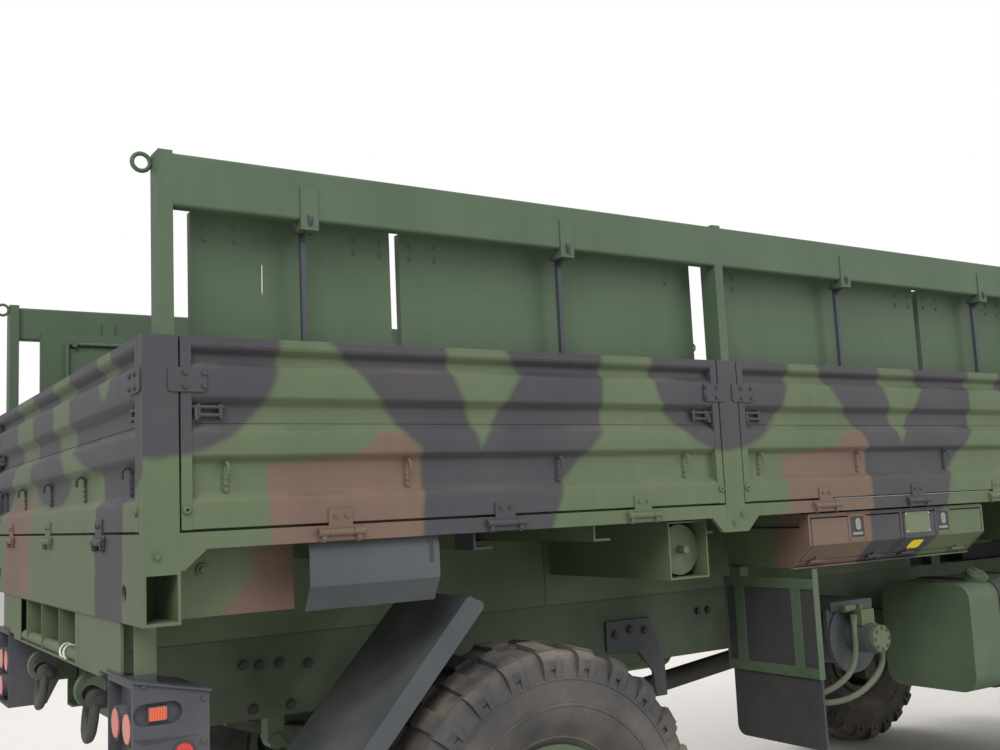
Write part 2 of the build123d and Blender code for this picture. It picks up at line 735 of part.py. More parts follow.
# Racks: stakes, top rails and the rods that carry the folded seats
stake_places = (46.0, 2070.0, bed_length - 46.0 - stake_length)
rod_places = (477.0, 1397.0, 2788.0, 3708.0)
rack_rail_low = rack_top - rack_rail_height
ring_radius = 24.0
ring_bar = 6.0
ring_z = rack_top - 18.0
with BuildPart() as racks:
    for side in (-1, 1):
        for place in stake_places:
            block(
                (from_rear(place), from_rear(place + stake_length)),
                (side * half_width, side * (half_width - stake_depth)),
                (panel_top, rack_top + 6),
            )
        with BuildSketch(Plane.YZ.offset(from_rear(stake_places[0] + 1))):
            with Locations((side * (half_width - rack_rail_depth / 2), rack_top - rack_rail_height / 2)):
                RectangleRounded(rack_rail_depth, rack_rail_height, 10)
        extrude(amount=stake_places[-1] + stake_length - stake_places[0] - 2)
        for place in rod_places:
            block(
                (from_rear(place - 27), from_rear(place + 27)),
                (side * (half_width - rack_rail_depth - 14), side * (half_width + 4)),
                (rack_rail_low - 28, rack_rail_low + 92),
            )
            block(
                (from_rear(place - rod_size / 2), from_rear(place + rod_size / 2)),
                (side * rod_outer_y, side * (rod_outer_y - rod_size)),
                (lip_top, rack_rail_low),
            )
            block(
                (from_rear(place - rod_size / 2), from_rear(place + rod_size / 2)),
                (side * (rod_outer_y - 2), side * seat_hinge_y),
                (seat_hinge_z - 10, seat_hinge_z + 10),
            )
            bar(
                12,
                (from_rear(place - rod_size / 2), side * seat_hinge_y, seat_hinge_z),
                (from_rear(place + rod_size / 2), side * seat_hinge_y, seat_hinge_z),
            )
            bar(
                seat_pin_radius,
                (from_rear(place - 60), side * seat_hinge_y, seat_hinge_z),
                (from_rear(place + 60), side * seat_hinge_y, seat_hinge_z),
            )
    # Tie rings behind the end stakes
    for side in (-1, 1):
        for place, away in ((stake_places[0], -1), (stake_places[-1] + stake_length, 1)):
            ring_centre = (from_rear(place) + away * (ring_radius + ring_bar - 2), side * (half_width - stake_depth + 12), ring_z)
            with Locations(Plane(origin=ring_centre, x_dir=(1, 0, 0), z_dir=(0, 1, 0))):
                Torus(ring_radius, ring_bar)
write(racks, "racks")

# Folding seats along each side. Boards: start, end
seat_boards = ((165.0, 790.0), (823.0, 2045.0), (2140.0, 3362.0), (3395.0, 4020.0))
leg_drop = seat_offset + seat_board + leg_radius + 4
seat_leg_length = seat_hinge_z - leg_drop - floor_top - move_gap
for label, side in (("right", -1), ("left", 1)):
    board_y = (side * (seat_hinge_y - seat_offset), side * (seat_hinge_y - seat_offset - seat_board))
    leg_y = side * (seat_hinge_y - leg_drop)
    with BuildPart() as seat:
        for (start, end), rod in zip(seat_boards, rod_places):
            block((from_rear(start), from_rear(end)), board_y, (seat_hinge_z - 14, seat_top))
            for place in (rod - 10 - 46, rod + 10):
                sleeve = (from_rear(place), from_rear(place + 46))
                bar(seat_tube_radius, (sleeve[0], side * seat_hinge_y, seat_hinge_z), (sleeve[1], side * seat_hinge_y, seat_hinge_z))
                block(sleeve, (side * seat_hinge_y, side * (seat_hinge_y - seat_offset - 1)), (seat_hinge_z - 14, seat_hinge_z + 14))
                bar(
                    seat_pin_radius + pin_play,
                    (sleeve[0] - 1, side * seat_hinge_y, seat_hinge_z),
                    (sleeve[1] + 1, side * seat_hinge_y, seat_hinge_z),
                    mode=Mode.SUBTRACT,
                )
            # Ears for the leg's top rod
            for ear in (start + 130, end - 150):
                block((from_rear(ear), from_rear(ear + 20)), (board_y[1] + side, leg_y - side * 14), (leg_pivot_z - 14, leg_pivot_z + 14))
            bar(
                seat_pin_radius + pin_play,
                (from_rear(start + 100), leg_y, leg_pivot_z),
                (from_rear(end - 100), leg_y, leg_pivot_z),
                mode=Mode.SUBTRACT,
            )
    write(seat, f"seat_{label}")
    with BuildPart() as legs:
        for start, end in seat_boards:
            feet = (start + 110, end - 110)
            bar(seat_pin_radius, (from_rear(feet[0]), leg_y, leg_pivot_z), (from_rear(feet[1]), leg_y, leg_pivot_z))
            for foot in feet:
                bar(leg_radius, (from_rear(foot), leg_y, leg_pivot_z + leg_radius), (from_rear(foot), leg_y, leg_pivot_z - seat_leg_length))
            low = leg_pivot_z - seat_leg_length + leg_radius
            bar(leg_radius, (from_rear(feet[0]), leg_y, low), (from_rear(feet[1]), leg_y, low))
    write(legs, f"seat_legs_{label}")

# Tail lamp boxes, their straps and the open channel between them under the rear sill
tail_x = (from_rear(4), from_rear(205))
tail_y = (830.0, 1100.0)
tail_top = 1212.0
tail_slope = 44.0
tail_foot = 905.0
tail_wall = 6.0
tail_recess = 34.0
tail_lamp_radius = 46.0
# Where each lamp sits: distance from the middle, height
tail_lamps = ((1025.0, 1085.0), (905.0, 1085.0), (1025.0, 975.0))
cover_hang = 8.0
marker = (from_rear(68), 1126.0)
marker_length = 128.0
marker_height = 58.0
marker_depth = 16.0
strap_x = (from_rear(20), from_rear(78))
strap_y = (1046.0, 1054.0)
hanger_x = (from_rear(6), from_rear(14))
hanger_y = (716.0, 965.0)
channel_x = (from_rear(6), from_rear(90))
channel_low = 1190.0
channel_half = 720.0
channel_webs = (-440.0, -150.0, 150.0, 440.0)
with BuildPart() as tail_boxes:
    for side in (-1, 1):
        with BuildSketch(side_plane(side * tail_y[1])):
            with BuildLine():
                Polyline(
                    (tail_x[0], tail_top),
                    (tail_x[1], tail_top - tail_slope),
                    (tail_x[1], tail_foot + 105),
                    (tail_x[1] - 55, tail_foot),
                    (tail_x[0], tail_foot),
                    close=True,
                )
            make_face()
        extrude(amount=side * (tail_y[1] - tail_y[0]))
        # Cover that slopes over the box and hangs past its sides
        with BuildSketch(side_plane(side * (tail_y[1] + cover_hang))):
            with BuildLine():
                Polyline(
                    (tail_x[0] - 3, tail_top - 1),
                    (tail_x[1] + 4, tail_top - tail_slope - 1),
                    (tail_x[1] + 4, tail_top - tail_slope + 5),
                    (tail_x[0] - 3, tail_top + 5),
                    close=True,
                )
            make_face()
        extrude(amount=side * (tail_y[1] - tail_y[0] + 2 * cover_hang))
        # Recess for the lamps at the rear, and one for the marker lamp in the outer side
        block(
            (tail_x[0] - 1, tail_x[0] + tail_recess),
            (side * (tail_y[0] + tail_wall), side * (tail_y[1] - marker_depth - tail_wall)),
            (tail_foot + tail_wall, tail_top - 3 * tail_wall),
            mode=Mode.SUBTRACT,
        )
        for lamp_y, lamp_z in tail_lamps:
            lamp_back = (tail_x[0] + tail_recess + 1, side * lamp_y, lamp_z)
            bar(tail_lamp_radius, lamp_back, (tail_x[0] + tail_wall, side * lamp_y, lamp_z))
        with BuildSketch(side_plane(side * tail_y[1])):
            with Locations(marker):
                SlotOverall(marker_length, marker_height)
        extrude(amount=side * marker_depth, mode=Mode.SUBTRACT)
        block(
            (marker[0] - 26, marker[0] + 26),
            (side * (tail_y[1] - marker_depth - 1), side * (tail_y[1] - 3)),
            (marker[1] - 19, marker[1] + 19),
        )
        # Strap and hanger plate up to the sill
        block(strap_x, (side * strap_y[0], side * strap_y[1]), (tail_top - 20, sill_bottom))
        block(hanger_x, (side * hanger_y[0], side * hanger_y[1]), (tail_top - 4, sill_bottom))
    # Channel that is open to the rear, with its upright webs
    block(channel_x, (-channel_half, channel_half), (channel_low, sill_bottom))
    block(
        (channel_x[0] - 1, channel_x[1] - tail_wall),
        (-channel_half + tail_wall, channel_half - tail_wall),
        (channel_low + tail_wall, sill_bottom - tail_wall),
        mode=Mode.SUBTRACT,
    )
    for web in channel_webs:
        block((channel_x[0], channel_x[1] - 1), (web - 4, web + 4), (channel_low + 1, sill_bottom - 1))
write(tail_boxes, "tail_boxes")

# Stowage box sizes
stow_x = (from_rear(2488), from_rear(3589))
stow_mid = from_rear(3038)
stow_top = 1542.0
stow_face_y = 1196.0
stow_bend_z = 1423.0
stow_low_z = 1338.0
stow_low_y = 1096.0
stow_back_y = 760.0
stow_plate = 6.0
stow_door = 8.0

# Mudguards and spray frames at the rear wheels
spray_frame_place = 2468.0
rail_foot = floor_top - 46
sheet = 4.0
# Rolled splash panel under the side rail: distance from the middle, height
splash_place = (479.0, 903.0)
splash_skin = ((1187.0, rail_foot), (1198.0, 1520.0), (1198.0, 1425.0), (1156.0, 1357.0))
skirt_y = 1060.0
skirt_flange = 26.0
guard_out = 1100.0
guard_edge = 6.0
with BuildPart() as mudguards:
    for side in (-1, 1):
        with BuildSketch(side_plane(side * 1100)):
            with BuildLine():
                Polyline(
                    (from_rear(1084), 1345),
                    (from_rear(1054), 1360),
                    (from_rear(560), 830),
                    (from_rear(580), 812),
                    close=True,
                )
            make_face()
        extrude(amount=side * 450)
        block((from_rear(1040), from_rear(1100)), (side * 640, side * 700), (1330, cross_bottom))
        # Turned edge along the mudguard's outer side
        with BuildSketch(side_plane(side * (guard_out + guard_edge))):
            with BuildLine():
                Polyline(
                    (from_rear(1084), 1345),
                    (from_rear(1054), 1360),
                    (from_rear(560), 830),
                    (from_rear(607), 788),
                    (from_rear(1108), 1325),
                    close=True,
                )
            make_face()
        extrude(amount=side * guard_edge)
        # Splash panel and the skirt behind it
        with BuildSketch(Plane.YZ.offset(from_rear(splash_place[0]))):
            with BuildLine():
                inner_skin = [(side * (y - sheet), z + 2) for y, z in reversed(splash_skin[1:])]
                inner_skin.append((side * (splash_skin[0][0] - sheet), rail_foot))
                Polyline(*[(side * y, z) for y, z in splash_skin], *inner_skin, close=True)
            make_face()
        extrude(amount=splash_place[1] - splash_place[0])
        block(
            (from_rear(sill_depth), from_rear(splash_place[0] + 8)),
            (side * (skirt_y - sheet), side * skirt_y),
            (sill_bottom, floor_top - floor_thick),
        )
        block(
            (from_rear(sill_depth), from_rear(splash_place[0] + 8)),
            (side * (skirt_y - skirt_flange), side * skirt_y),
            (sill_bottom, sill_bottom + sheet),
        )
        # Spray frame ahead of the wheel and its flap
        with BuildSketch(Plane.YZ.offset(from_rear(spray_frame_place))):
            with Locations((side * 975, 1116)):
                Rectangle(450, 368)
            with Locations((side * 940, 1116)):
                Rectangle(230, 290, mode=Mode.SUBTRACT)
            with Locations((side * 1120, 1116)):
                Rectangle(60, 290, mode=Mode.SUBTRACT)
        extrude(amount=30)
        flap_x = (from_rear(spray_frame_place + 9), from_rear(spray_frame_place + 21))
        block(flap_x, (side * 760, side * 1195), (670, 940))
        hanger_top = stow_low_z if side < 0 else cross_bottom
        hanger_x = (from_rear(spray_frame_place), from_rear(spray_frame_place + 45))
        block(hanger_x, (side * 780, side * 840), (1290, hanger_top))
write(mudguards, "mudguards")

# Stowage box on the right with two doors that fold down
stow_lid_gap = 14.0
stow_shelf = cross_bottom - 4
stow_slope = Vector(0, -(stow_face_y - stow_low_y), stow_bend_z - stow_low_z).normalized()
stow_out = Vector(0, -stow_slope.Z, stow_slope.Y)
stow_sill = Vector(0, -stow_low_y, stow_low_z) + stow_slope * 34
stow_hinge = stow_sill + stow_slope * move_gap + stow_out * 7
stow_doors = (
    ("rear", stow_x[0] + 12 + move_gap, stow_mid - 8 - move_gap),
    ("front", stow_mid + 8 + move_gap, stow_x[1] - 12 - move_gap),
)
stow_knuckle = 40.0
stow_barrel = 6.0
stow_pin = 3.0


def stow_hinge_plane(x):
    """A plane on the stowage doors' hinge line: its own Y runs up the door and its Z outward."""
    return Plane(origin=(x, stow_hinge.Y, stow_hinge.Z), x_dir=(1, 0, 0), z_dir=stow_out)


def stow_line(x):
    """The point of the stowage doors' hinge line at a place along the truck."""
    return (x, stow_hinge.Y, stow_hinge.Z)


with BuildPart() as stowage_box:
    with BuildSketch(Plane.YZ.offset(stow_x[0])):
        with BuildLine():
            Polyline(
                (-stow_back_y, stow_shelf),
                (-stow_face_y + 46, stow_shelf),
                (-stow_face_y + 46, stow_top),
                (-stow_face_y, stow_top),
                (-stow_face_y, stow_bend_z),
                (-stow_low_y, stow_low_z),
                (-stow_back_y, stow_low_z),
                close=True,
            )
        make_face()
    extrude(amount=stow_x[1] - stow_x[0])
    inner_sill = stow_sill - stow_out * (stow_door + 4)
    for start, end in ((stow_x[0] + 12, stow_mid - 8), (stow_mid + 8, stow_x[1] - 12)):
        with BuildSketch(Plane.YZ.offset(start)):
            with BuildLine():
                Polyline(
                    (-stow_back_y - stow_plate, stow_shelf - stow_plate),
                    (-stow_face_y + 40, stow_shelf - stow_plate),
                    (-stow_face_y + 40, stow_top - stow_lid_gap),
                    (-stow_face_y - 1, stow_top - stow_lid_gap),
                    (-stow_face_y - 1, stow_bend_z - 1),
                    (stow_sill.Y + stow_out.Y, stow_sill.Z + stow_out.Z),
                    (inner_sill.Y, inner_sill.Z),
                    (-stow_low_y + 6, stow_low_z + stow_plate),
                    (-stow_back_y - stow_plate, stow_low_z + stow_plate),
                    close=True,
                )
            make_face()
        extrude(amount=end - start, mode=Mode.SUBTRACT)
    for place in (2500, 3540):
        block((from_rear(place), from_rear(place + 40)), (-820, -780), (stow_shelf - 1, cross_bottom))
    for label, start, end in stow_doors:
        for place in (start + 90, end - 90):
            for lug in (-1, 1):
                lug_middle = place + lug * (stow_knuckle / 2 + 11)
                with Locations(stow_hinge_plane(lug_middle)):
                    with Locations((0, -10, -4)):
                        Box(20, 20, 8)
                bar(stow_barrel, stow_line(lug_middle - 10), stow_line(lug_middle + 10))
            bar(stow_pin, stow_line(place - stow_knuckle / 2 - 15), stow_line(place + stow_knuckle / 2 + 15))
write(stowage_box, "stowage_box")
lid_low = stow_sill + stow_slope * move_gap
lid_low_inner = lid_low - stow_out * stow_door
for label, start, end in stow_doors:
    with BuildPart() as stow_lid:
        with BuildSketch(Plane.YZ.offset(start)):
            with BuildLine():
                Polyline(
                    (-stow_face_y, stow_top - stow_lid_gap - move_gap),
                    (-stow_face_y, stow_bend_z),
                    (lid_low.Y, lid_low.Z),
                    (lid_low_inner.Y, lid_low_inner.Z),
                    (-stow_face_y + stow_door, stow_bend_z + 4),
                    (-stow_face_y + stow_door, stow_top - stow_lid_gap - move_gap),
                    close=True,
                )
            make_face()
        extrude(amount=end - start)
        for place in (start + 90, end - 90):
            with Locations(stow_hinge_plane(place)):
                with Locations((0, 10, -4)):
                    Box(stow_knuckle, 20, 8)
            bar(stow_barrel, stow_line(place - stow_knuckle / 2), stow_line(place + stow_knuckle / 2))
            bar(
                stow_pin + pin_play,
                stow_line(place - stow_knuckle / 2 - 1),
                stow_line(place + stow_knuckle / 2 + 1),
                mode=Mode.SUBTRACT,
            )
        middle = (start + end) / 2
        block((middle - 26, middle + 26), (-stow_face_y - 1, -stow_face_y + 4), (1470, 1506), mode=Mode.SUBTRACT)
    write(stow_lid, f"stowage_door_{label}")

# Self recovery winch behind the tank
winch_x = from_rear(3050)
with BuildPart() as winch:
    bar(120, (winch_x, -880, 1010), (winch_x, -560, 1010))
    bar(150, (winch_x, -900, 1010), (winch_x, -880, 1010))
    bar(150, (winch_x, -560, 1010), (winch_x, -540, 1010))
    bar(62, (winch_x, -1010, 1010), (winch_x, -895, 1010))
    block((winch_x - 110, winch_x + 110), (-560, -rail_outer_y), (960, 1100))
    block((winch_x - 130, winch_x + 130), (-900, -rail_outer_y), (1120, 1160))
    for place in (-140, 110):
        block((winch_x + place - 10, winch_x + place + 30), (-890, -870), (1010, 1130))
    block((winch_x - 30, winch_x + 30), (-900, -880), (1100, 1130))
write(winch, "winch")

# Exhaust stack and air cleaner behind the cab
stack_x = from_rear(4300)
with BuildPart() as stack:
    bar(75, (stack_x, -960, 1430), (stack_x, -960, 2250))
    bar(45, (stack_x, -960, 2240), (stack_x, -960, 2560))
    bar(75, (stack_x, 930, 1430), (stack_x, 930, 2100))
    bar(40, (stack_x, 930, 2090), (stack_x, 930, 2420))
    bar(60, (stack_x, 930, 2400), (stack_x, 930, 2520))
    for side in (-1, 1):
        block((stack_x - 35, stack_x + 35), (side * (rail_outer_y - 30), side * 1000), (1390, 1432))
        block((stack_x - 35, stack_x + 35), (side * (rail_outer_y - 60), side * rail_outer_y), (rail_top, 1395))
write(stack, "stack")

# Cab: side profile, as distances from the body's rear face and heights
roof_front = cab_front - windshield_lean
cab_profile = (
    (cab_rear, arch_floor - 30),
    (cab_rear, cab_roof),
    (roof_front, cab_roof),
    (cab_front, windshield_base),
    (cab_front, cab_bottom),
    (5880.0, cab_bottom),
    (5860.0, 1120.0),
    (5690.0, arch_floor),
    (4700.0, arch_floor),
)
cavity_profile = (
    (cab_rear + cab_wall, arch_floor + cab_wall - 10),
    (cab_rear + cab_wall, cab_roof - cab_wall),
    (roof_front - cab_wall + 12, cab_roof - cab_wall),
    (cab_front - cab_wall, windshield_base + 5),
    (cab_front - cab_wall, cab_bottom + cab_wall + 20),
    (5920.0, cab_bottom + cab_wall + 20),
    (5905.0, 1145.0),
    (5715.0, arch_floor + cab_wall - 10),
)
# Door outline from the same origin, then its inner panel
door_outline = (
    (5030.0, 1430.0),
    (5030.0, 2570.0),
    (5990.0, 2570.0),
    (6128.0, 1940.0),
    (6128.0, 1130.0),
    (5905.0, 1130.0),
    (5725.0, 1405.0),
    (5560.0, 1430.0),
)
window_outline = ((5120.0, 1960.0), (5120.0, 2490.0), (5925.0, 2490.0), (6035.0, 1960.0))


def place_profile(profile):
    """The points of a side profile at their places along X."""
    return [(from_rear(x), z) for x, z in profile]


screen_run = Vector(-(cab_front - roof_front), 0, cab_roof - windshield_base)
screen_low = Vector(from_rear(cab_front), 0, windshield_base)
screen_mid = screen_low + screen_run * 0.5
screen_up = screen_run.normalized()
screen_out = Vector(screen_up.Z, 0, -screen_up.X)
screen = Plane(origin=screen_mid, x_dir=(0, 1, 0), z_dir=screen_out)
pane_width = 960.0
pane_height = 590.0
pane_y = 520.0
rear_pane = (1100.0, 420.0, 2250.0)

with BuildPart() as cab_shell:
    with BuildSketch(Plane.XZ.offset(-cab_half_width)):
        with BuildLine():
            Polyline(*place_profile(cab_profile), close=True)
        make_face()
    extrude(amount=2 * cab_half_width)
    long_edges = edges().filter_by(Axis.Y)
    fillet(long_edges.group_by(Axis.Z)[-1], 55)
    with BuildSketch(Plane.XZ.offset(-cab_half_width + cab_wall)):
        with BuildLine():
            Polyline(*place_profile(cavity_profile), close=True)
        make_face()
    extrude(amount=2 * (cab_half_width - cab_wall), mode=Mode.SUBTRACT)
    # Engine tunnel and the slot over the chassis rails
    inner_rear = from_rear(cab_rear + cab_wall - 1)
    inner_front = from_rear(cab_front - cab_wall + 1)
    block((inner_rear, inner_front - 40), (-tunnel_half_width - 15, tunnel_half_width + 15), (1290, tunnel_top + 15))
    block((from_rear(5640), inner_front), (-frame_slot - 15, frame_slot + 15), (cab_bottom, 1315))
    block((from_rear(cab_rear - 1), inner_front - 20), (-tunnel_half_width, tunnel_half_width), (1000, tunnel_top), mode=Mode.SUBTRACT)
    block((from_rear(cab_rear - 1), from_rear(cab_front + 1)), (-frame_slot, frame_slot), (1000, 1300), mode=Mode.SUBTRACT)
    block((inner_front - 60, from_rear(cab_front + 1)), (-tunnel_half_width, tunnel_half_width), (1200, 1520), mode=Mode.SUBTRACT)
    # Front wheel arches
    bar(arch_radius, (front_axle_x, -cab_half_width - 1, tyre_radius), (front_axle_x, cab_half_width + 1, tyre_radius), mode=Mode.SUBTRACT)
    # Screens and door openings
    for side in (-1, 1):
        with BuildSketch(screen):
            with Locations((side * pane_y, 0)):
                RectangleRounded(pane_width, pane_height, 40)
        extrude(amount=90, both=True, mode=Mode.SUBTRACT)
        with BuildSketch(side_plane(side * (cab_half_width + 1))) as door_hole:
            with BuildLine():
                Polyline(*place_profile(door_outline), close=True)
            make_face()
            offset(amount=door_gap, kind=Kind.INTERSECTION)
        extrude(amount=side * (cab_wall + 2), mode=Mode.SUBTRACT)
    with BuildSketch(Plane.YZ.offset(from_rear(cab_rear - 1))):
        with Locations((0, rear_pane[2])):
            RectangleRounded(rear_pane[0], rear_pane[1], 40)
    extrude(amount=cab_wall + 2, mode=Mode.SUBTRACT)
    # Bores of the tilt hinge
    for side in (-1, 1):
        bar(
            tilt_pin + pin_play,
            (tilt_x, side * (frame_slot - 5), tilt_z),
            (tilt_x, side * (frame_slot + 25), tilt_z),
            mode=Mode.SUBTRACT,
        )
    # Door hinge barrels, with their pins
    for side in (-1, 1):
        for level in (1350.0, 1800.0):
            hinge_x = from_rear(6128 + door_hinge_ahead)
            hinge_y = side * (cab_half_width + door_hinge_out)
            for lug in (-1, 1):
                bar(11, (hinge_x, hinge_y, level + lug * 21), (hinge_x, hinge_y, level + lug * 41))
                block((hinge_x - 8, hinge_x + 30), (side * (cab_half_width - 2), hinge_y), tuple(sorted((level + lug * 21, level + lug * 41))))
            bar(5, (hinge_x, hinge_y, level - 30), (hinge_x, hinge_y, level + 30))
write(cab_shell, "cab_shell")

with BuildPart() as cab_glass:
    for side in (-1, 1):
        with BuildSketch(screen.offset(-cab_wall / 2 + 10)):
            with Locations((side * pane_y, 0)):
                RectangleRounded(pane_width - 2 * seat_gap, pane_height - 2 * seat_gap, 40 - seat_gap)
        extrude(amount=glass_thick / 2, both=True)
    with BuildSketch(Plane.YZ.offset(from_rear(cab_rear + 20))):
        with Locations((0, rear_pane[2])):
            RectangleRounded(rear_pane[0] - 2 * seat_gap, rear_pane[1] - 2 * seat_gap, 40 - seat_gap)
    extrude(amount=glass_thick)
write(cab_glass, "cab_glass")

# Grille in the cab's nose
with BuildPart() as grille:
    block((from_rear(cab_front), from_rear(cab_front) + 12), (-400, 400), (1080, 1600))
    block((from_rear(cab_front) - 1, from_rear(cab_front) + 13), (-330, 330), (1110, 1510), mode=Mode.SUBTRACT)
    for level in range(1130, 1510, 40):
        block((from_rear(cab_front) + 1, from_rear(cab_front) + 9), (-331, 331), (level, level + 16))
write(grille, "grille")

# Doors with their mirrors
for label, side in (("right", -1), ("left", 1)):
    hinge_x = from_rear(6128 + door_hinge_ahead)
    hinge_y = side * (cab_half_width + door_hinge_out)
    with BuildPart() as door:
        with BuildSketch(side_plane(side * cab_half_width)):
            with BuildLine():
                Polyline(*place_profile(door_outline), close=True)
            make_face()
        extrude(amount=side * 12)
        with BuildSketch(side_plane(side * (cab_half_width - 12))):
            with BuildLine():
                Polyline(*place_profile(door_outline), close=True)
            make_face()
            offset(amount=-45, kind=Kind.INTERSECTION)
        extrude(amount=side * (cab_wall - 12))
        with BuildSketch(side_plane(side * (cab_half_width + 1))):
            with BuildLine():
                Polyline(*place_profile(window_outline), close=True)
            make_face()
            fillet(vertices(), 35)
        extrude(amount=side * (cab_wall + 4), mode=Mode.SUBTRACT)
        for level in (1350.0, 1800.0):
            bar(11, (hinge_x, hinge_y, level - 20), (hinge_x, hinge_y, level + 20))
            block((hinge_x - 110, hinge_x), (side * (cab_half_width + 6), hinge_y), (level - 20, level + 20))
            block((hinge_x - 110, hinge_x - 66), (side * (cab_half_width - 1), side * (cab_half_width + 7)), (level - 20, level + 20))
            bar(5 + pin_play, (hinge_x, hinge_y, level - 21), (hinge_x, hinge_y, level + 21), mode=Mode.SUBTRACT)
        # Mirror on its two arms
        mirror_x = from_rear(6050)
        for level in (1900.0, 2540.0):
            bar(8, (from_rear(5960), side * (cab_half_width - 6), level), (mirror_x, side * (cab_half_width + 190), level))
        bar(11, (mirror_x, side * (cab_half_width + 190), 1880), (mirror_x, side * (cab_half_width + 190), 2560))
        block(
            (mirror_x - 25, mirror_x + 25),
            (side * (cab_half_width + 95), side * (cab_half_width + 285)),
            (2020, 2400),
        )
    write(door, f"door_{label}")
    with BuildPart() as door_glass:
        with BuildSketch(side_plane(side * (cab_half_width - 22))):
            with BuildLine():
                Polyline(*place_profile(window_outline), close=True)
            make_face()
            fillet(vertices(), 35)
            offset(amount=-seat_gap, kind=Kind.INTERSECTION)
        extrude(amount=side * glass_thick)
    write(door_glass, f"door_glass_{label}")

# Cab inside: seats, dashboard and steering wheel
floor_inside = arch_floor + cab_wall - 10
with BuildPart() as cab_seats:
    for y in (-760.0, 760.0):
        block((from_rear(4800), from_rear(5300)), (y - 250, y + 250), (floor_inside + seat_gap, floor_inside + 160))
        block((from_rear(4780), from_rear(5310)), (y - 260, y + 260), (floor_inside + 160, floor_inside + 290))
        with BuildSketch(side_plane(y - 250)):
            with BuildLine():
                Polyline(
                    (from_rear(4800), floor_inside + 280),
                    (from_rear(4930), floor_inside + 280),
                    (from_rear(4800), floor_inside + 900),
                    (from_rear(4690), floor_inside + 900),
                    close=True,
                )
            make_face()
        extrude(amount=-500)
write(cab_seats, "cab_seats")

driver_y = 760.0
column_place = cab_front - 510
column_top = 1895.0
with BuildPart() as dashboard:
    with BuildSketch(Plane.XZ.offset(-cab_half_width + cab_wall + seat_gap)):
        with BuildLine():
            Polyline(
                (from_rear(cab_front - 270), 1700),
                (from_rear(cab_front - 260), 1870),
                (from_rear(cab_front - 180), 1910),
                (from_rear(cab_front - cab_wall - 1), 1910),
                (from_rear(cab_front - cab_wall - 1), 1640),
                (from_rear(cab_front - 180), 1640),
                close=True,
            )
        make_face()
    extrude(amount=2 * (cab_half_width - cab_wall - seat_gap))
    bar(28, (from_rear(column_place + 300), driver_y, 1650), (from_rear(column_place), driver_y, column_top))
    bar(12, (from_rear(column_place + 10), driver_y, 1886.8), (from_rear(column_place - 30), driver_y, 1919.5))
write(dashboard, "dashboard")

column_dir = Vector(-300, 0, 245).normalized()
wheel_centre = Vector(from_rear(column_place), driver_y, column_top) + column_dir * 22
column = Plane(origin=wheel_centre, x_dir=(0, 1, 0), z_dir=column_dir)
with BuildPart() as steering_wheel:
    with BuildSketch(Plane(origin=wheel_centre, x_dir=(0, 1, 0), z_dir=column_dir.cross(Vector(0, 1, 0)))):
        with Locations((215, 0)):
            RegularPolygon(15, 12)
    revolve(axis=Axis(wheel_centre, column_dir))
    with BuildSketch(column.offset(-9)):
        Circle(45)
        with PolarLocations(0, 3, 90):
            with Locations((108, 0)):
                Rectangle(214, 30)
        Circle(12 + pin_play, mode=Mode.SUBTRACT)
    extrude(amount=18)
write(steering_wheel, "steering_wheel")
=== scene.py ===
"""Finishes, fittings and stage for a four wheel drive military cargo truck.

Metres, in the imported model's frame: +X forward, +Y left, +Z up, the ground at Z 0.
"""

import math

import bmesh
import bpy
from bpy.props import FloatProperty, FloatVectorProperty, IntProperty, PointerProperty
from mathutils import Matrix, Vector


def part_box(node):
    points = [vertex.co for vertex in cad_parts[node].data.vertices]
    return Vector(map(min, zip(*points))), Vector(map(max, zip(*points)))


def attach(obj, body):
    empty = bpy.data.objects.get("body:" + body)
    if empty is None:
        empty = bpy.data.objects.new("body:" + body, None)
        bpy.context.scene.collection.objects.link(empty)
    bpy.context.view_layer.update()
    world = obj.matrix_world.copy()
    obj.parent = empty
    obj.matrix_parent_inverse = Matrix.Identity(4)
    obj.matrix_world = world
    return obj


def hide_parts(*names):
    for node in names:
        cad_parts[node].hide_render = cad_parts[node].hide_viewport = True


bl_info = {
    "name": "Military Cargo Truck Finish",
    "version": (1, 0, 0),
    "blender": (4, 5, 0),
    "location": "View3D > Sidebar > Truck",
    "description": "Dresses a packed cargo truck with paint, fittings, tyres and a studio stage",
    "category": "Object",
}

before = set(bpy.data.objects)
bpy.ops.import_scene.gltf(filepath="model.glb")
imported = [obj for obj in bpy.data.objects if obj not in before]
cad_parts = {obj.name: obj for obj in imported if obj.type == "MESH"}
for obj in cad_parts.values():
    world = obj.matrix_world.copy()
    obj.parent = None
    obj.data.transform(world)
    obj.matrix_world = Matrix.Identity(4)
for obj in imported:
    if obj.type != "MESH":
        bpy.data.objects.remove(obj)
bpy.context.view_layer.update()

# Sizes of the body and its panels, and places that the frame gives
PANEL_THICK = 0.040
PANEL_HEIGHT = 0.515
PANEL_RECESS = 0.027
HALF_WIDTH = 1.219
BED_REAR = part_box("tailgate")[1].x - PANEL_THICK
PANEL_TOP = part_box("tailgate")[1].z
PANEL_BOTTOM = PANEL_TOP - PANEL_HEIGHT
RACK_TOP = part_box("racks")[1].z - 0.012
REAR_AXLE = sum(p.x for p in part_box("tyre_rear_right")) / 2
FRONT_AXLE = sum(p.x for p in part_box("tyre_front_right")) / 2
AXLE_HEIGHT = sum(p.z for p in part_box("rim_rear_right")) / 2
WHEEL_Y = sum(p.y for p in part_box("tyre_rear_left")) / 2
SIDES = (("right", -1), ("left", 1))
# Hinges along the sides, from the rear, and across the tailgate
SIDE_HINGES = (0.549, 1.104, 1.660, 2.571, 3.126, 3.682)
REAR_HINGES = (-0.750, 0.0, 0.750)
RAIL_Y = 0.430
HINGE_DROP = 0.026
HINGE_OUT = 0.005
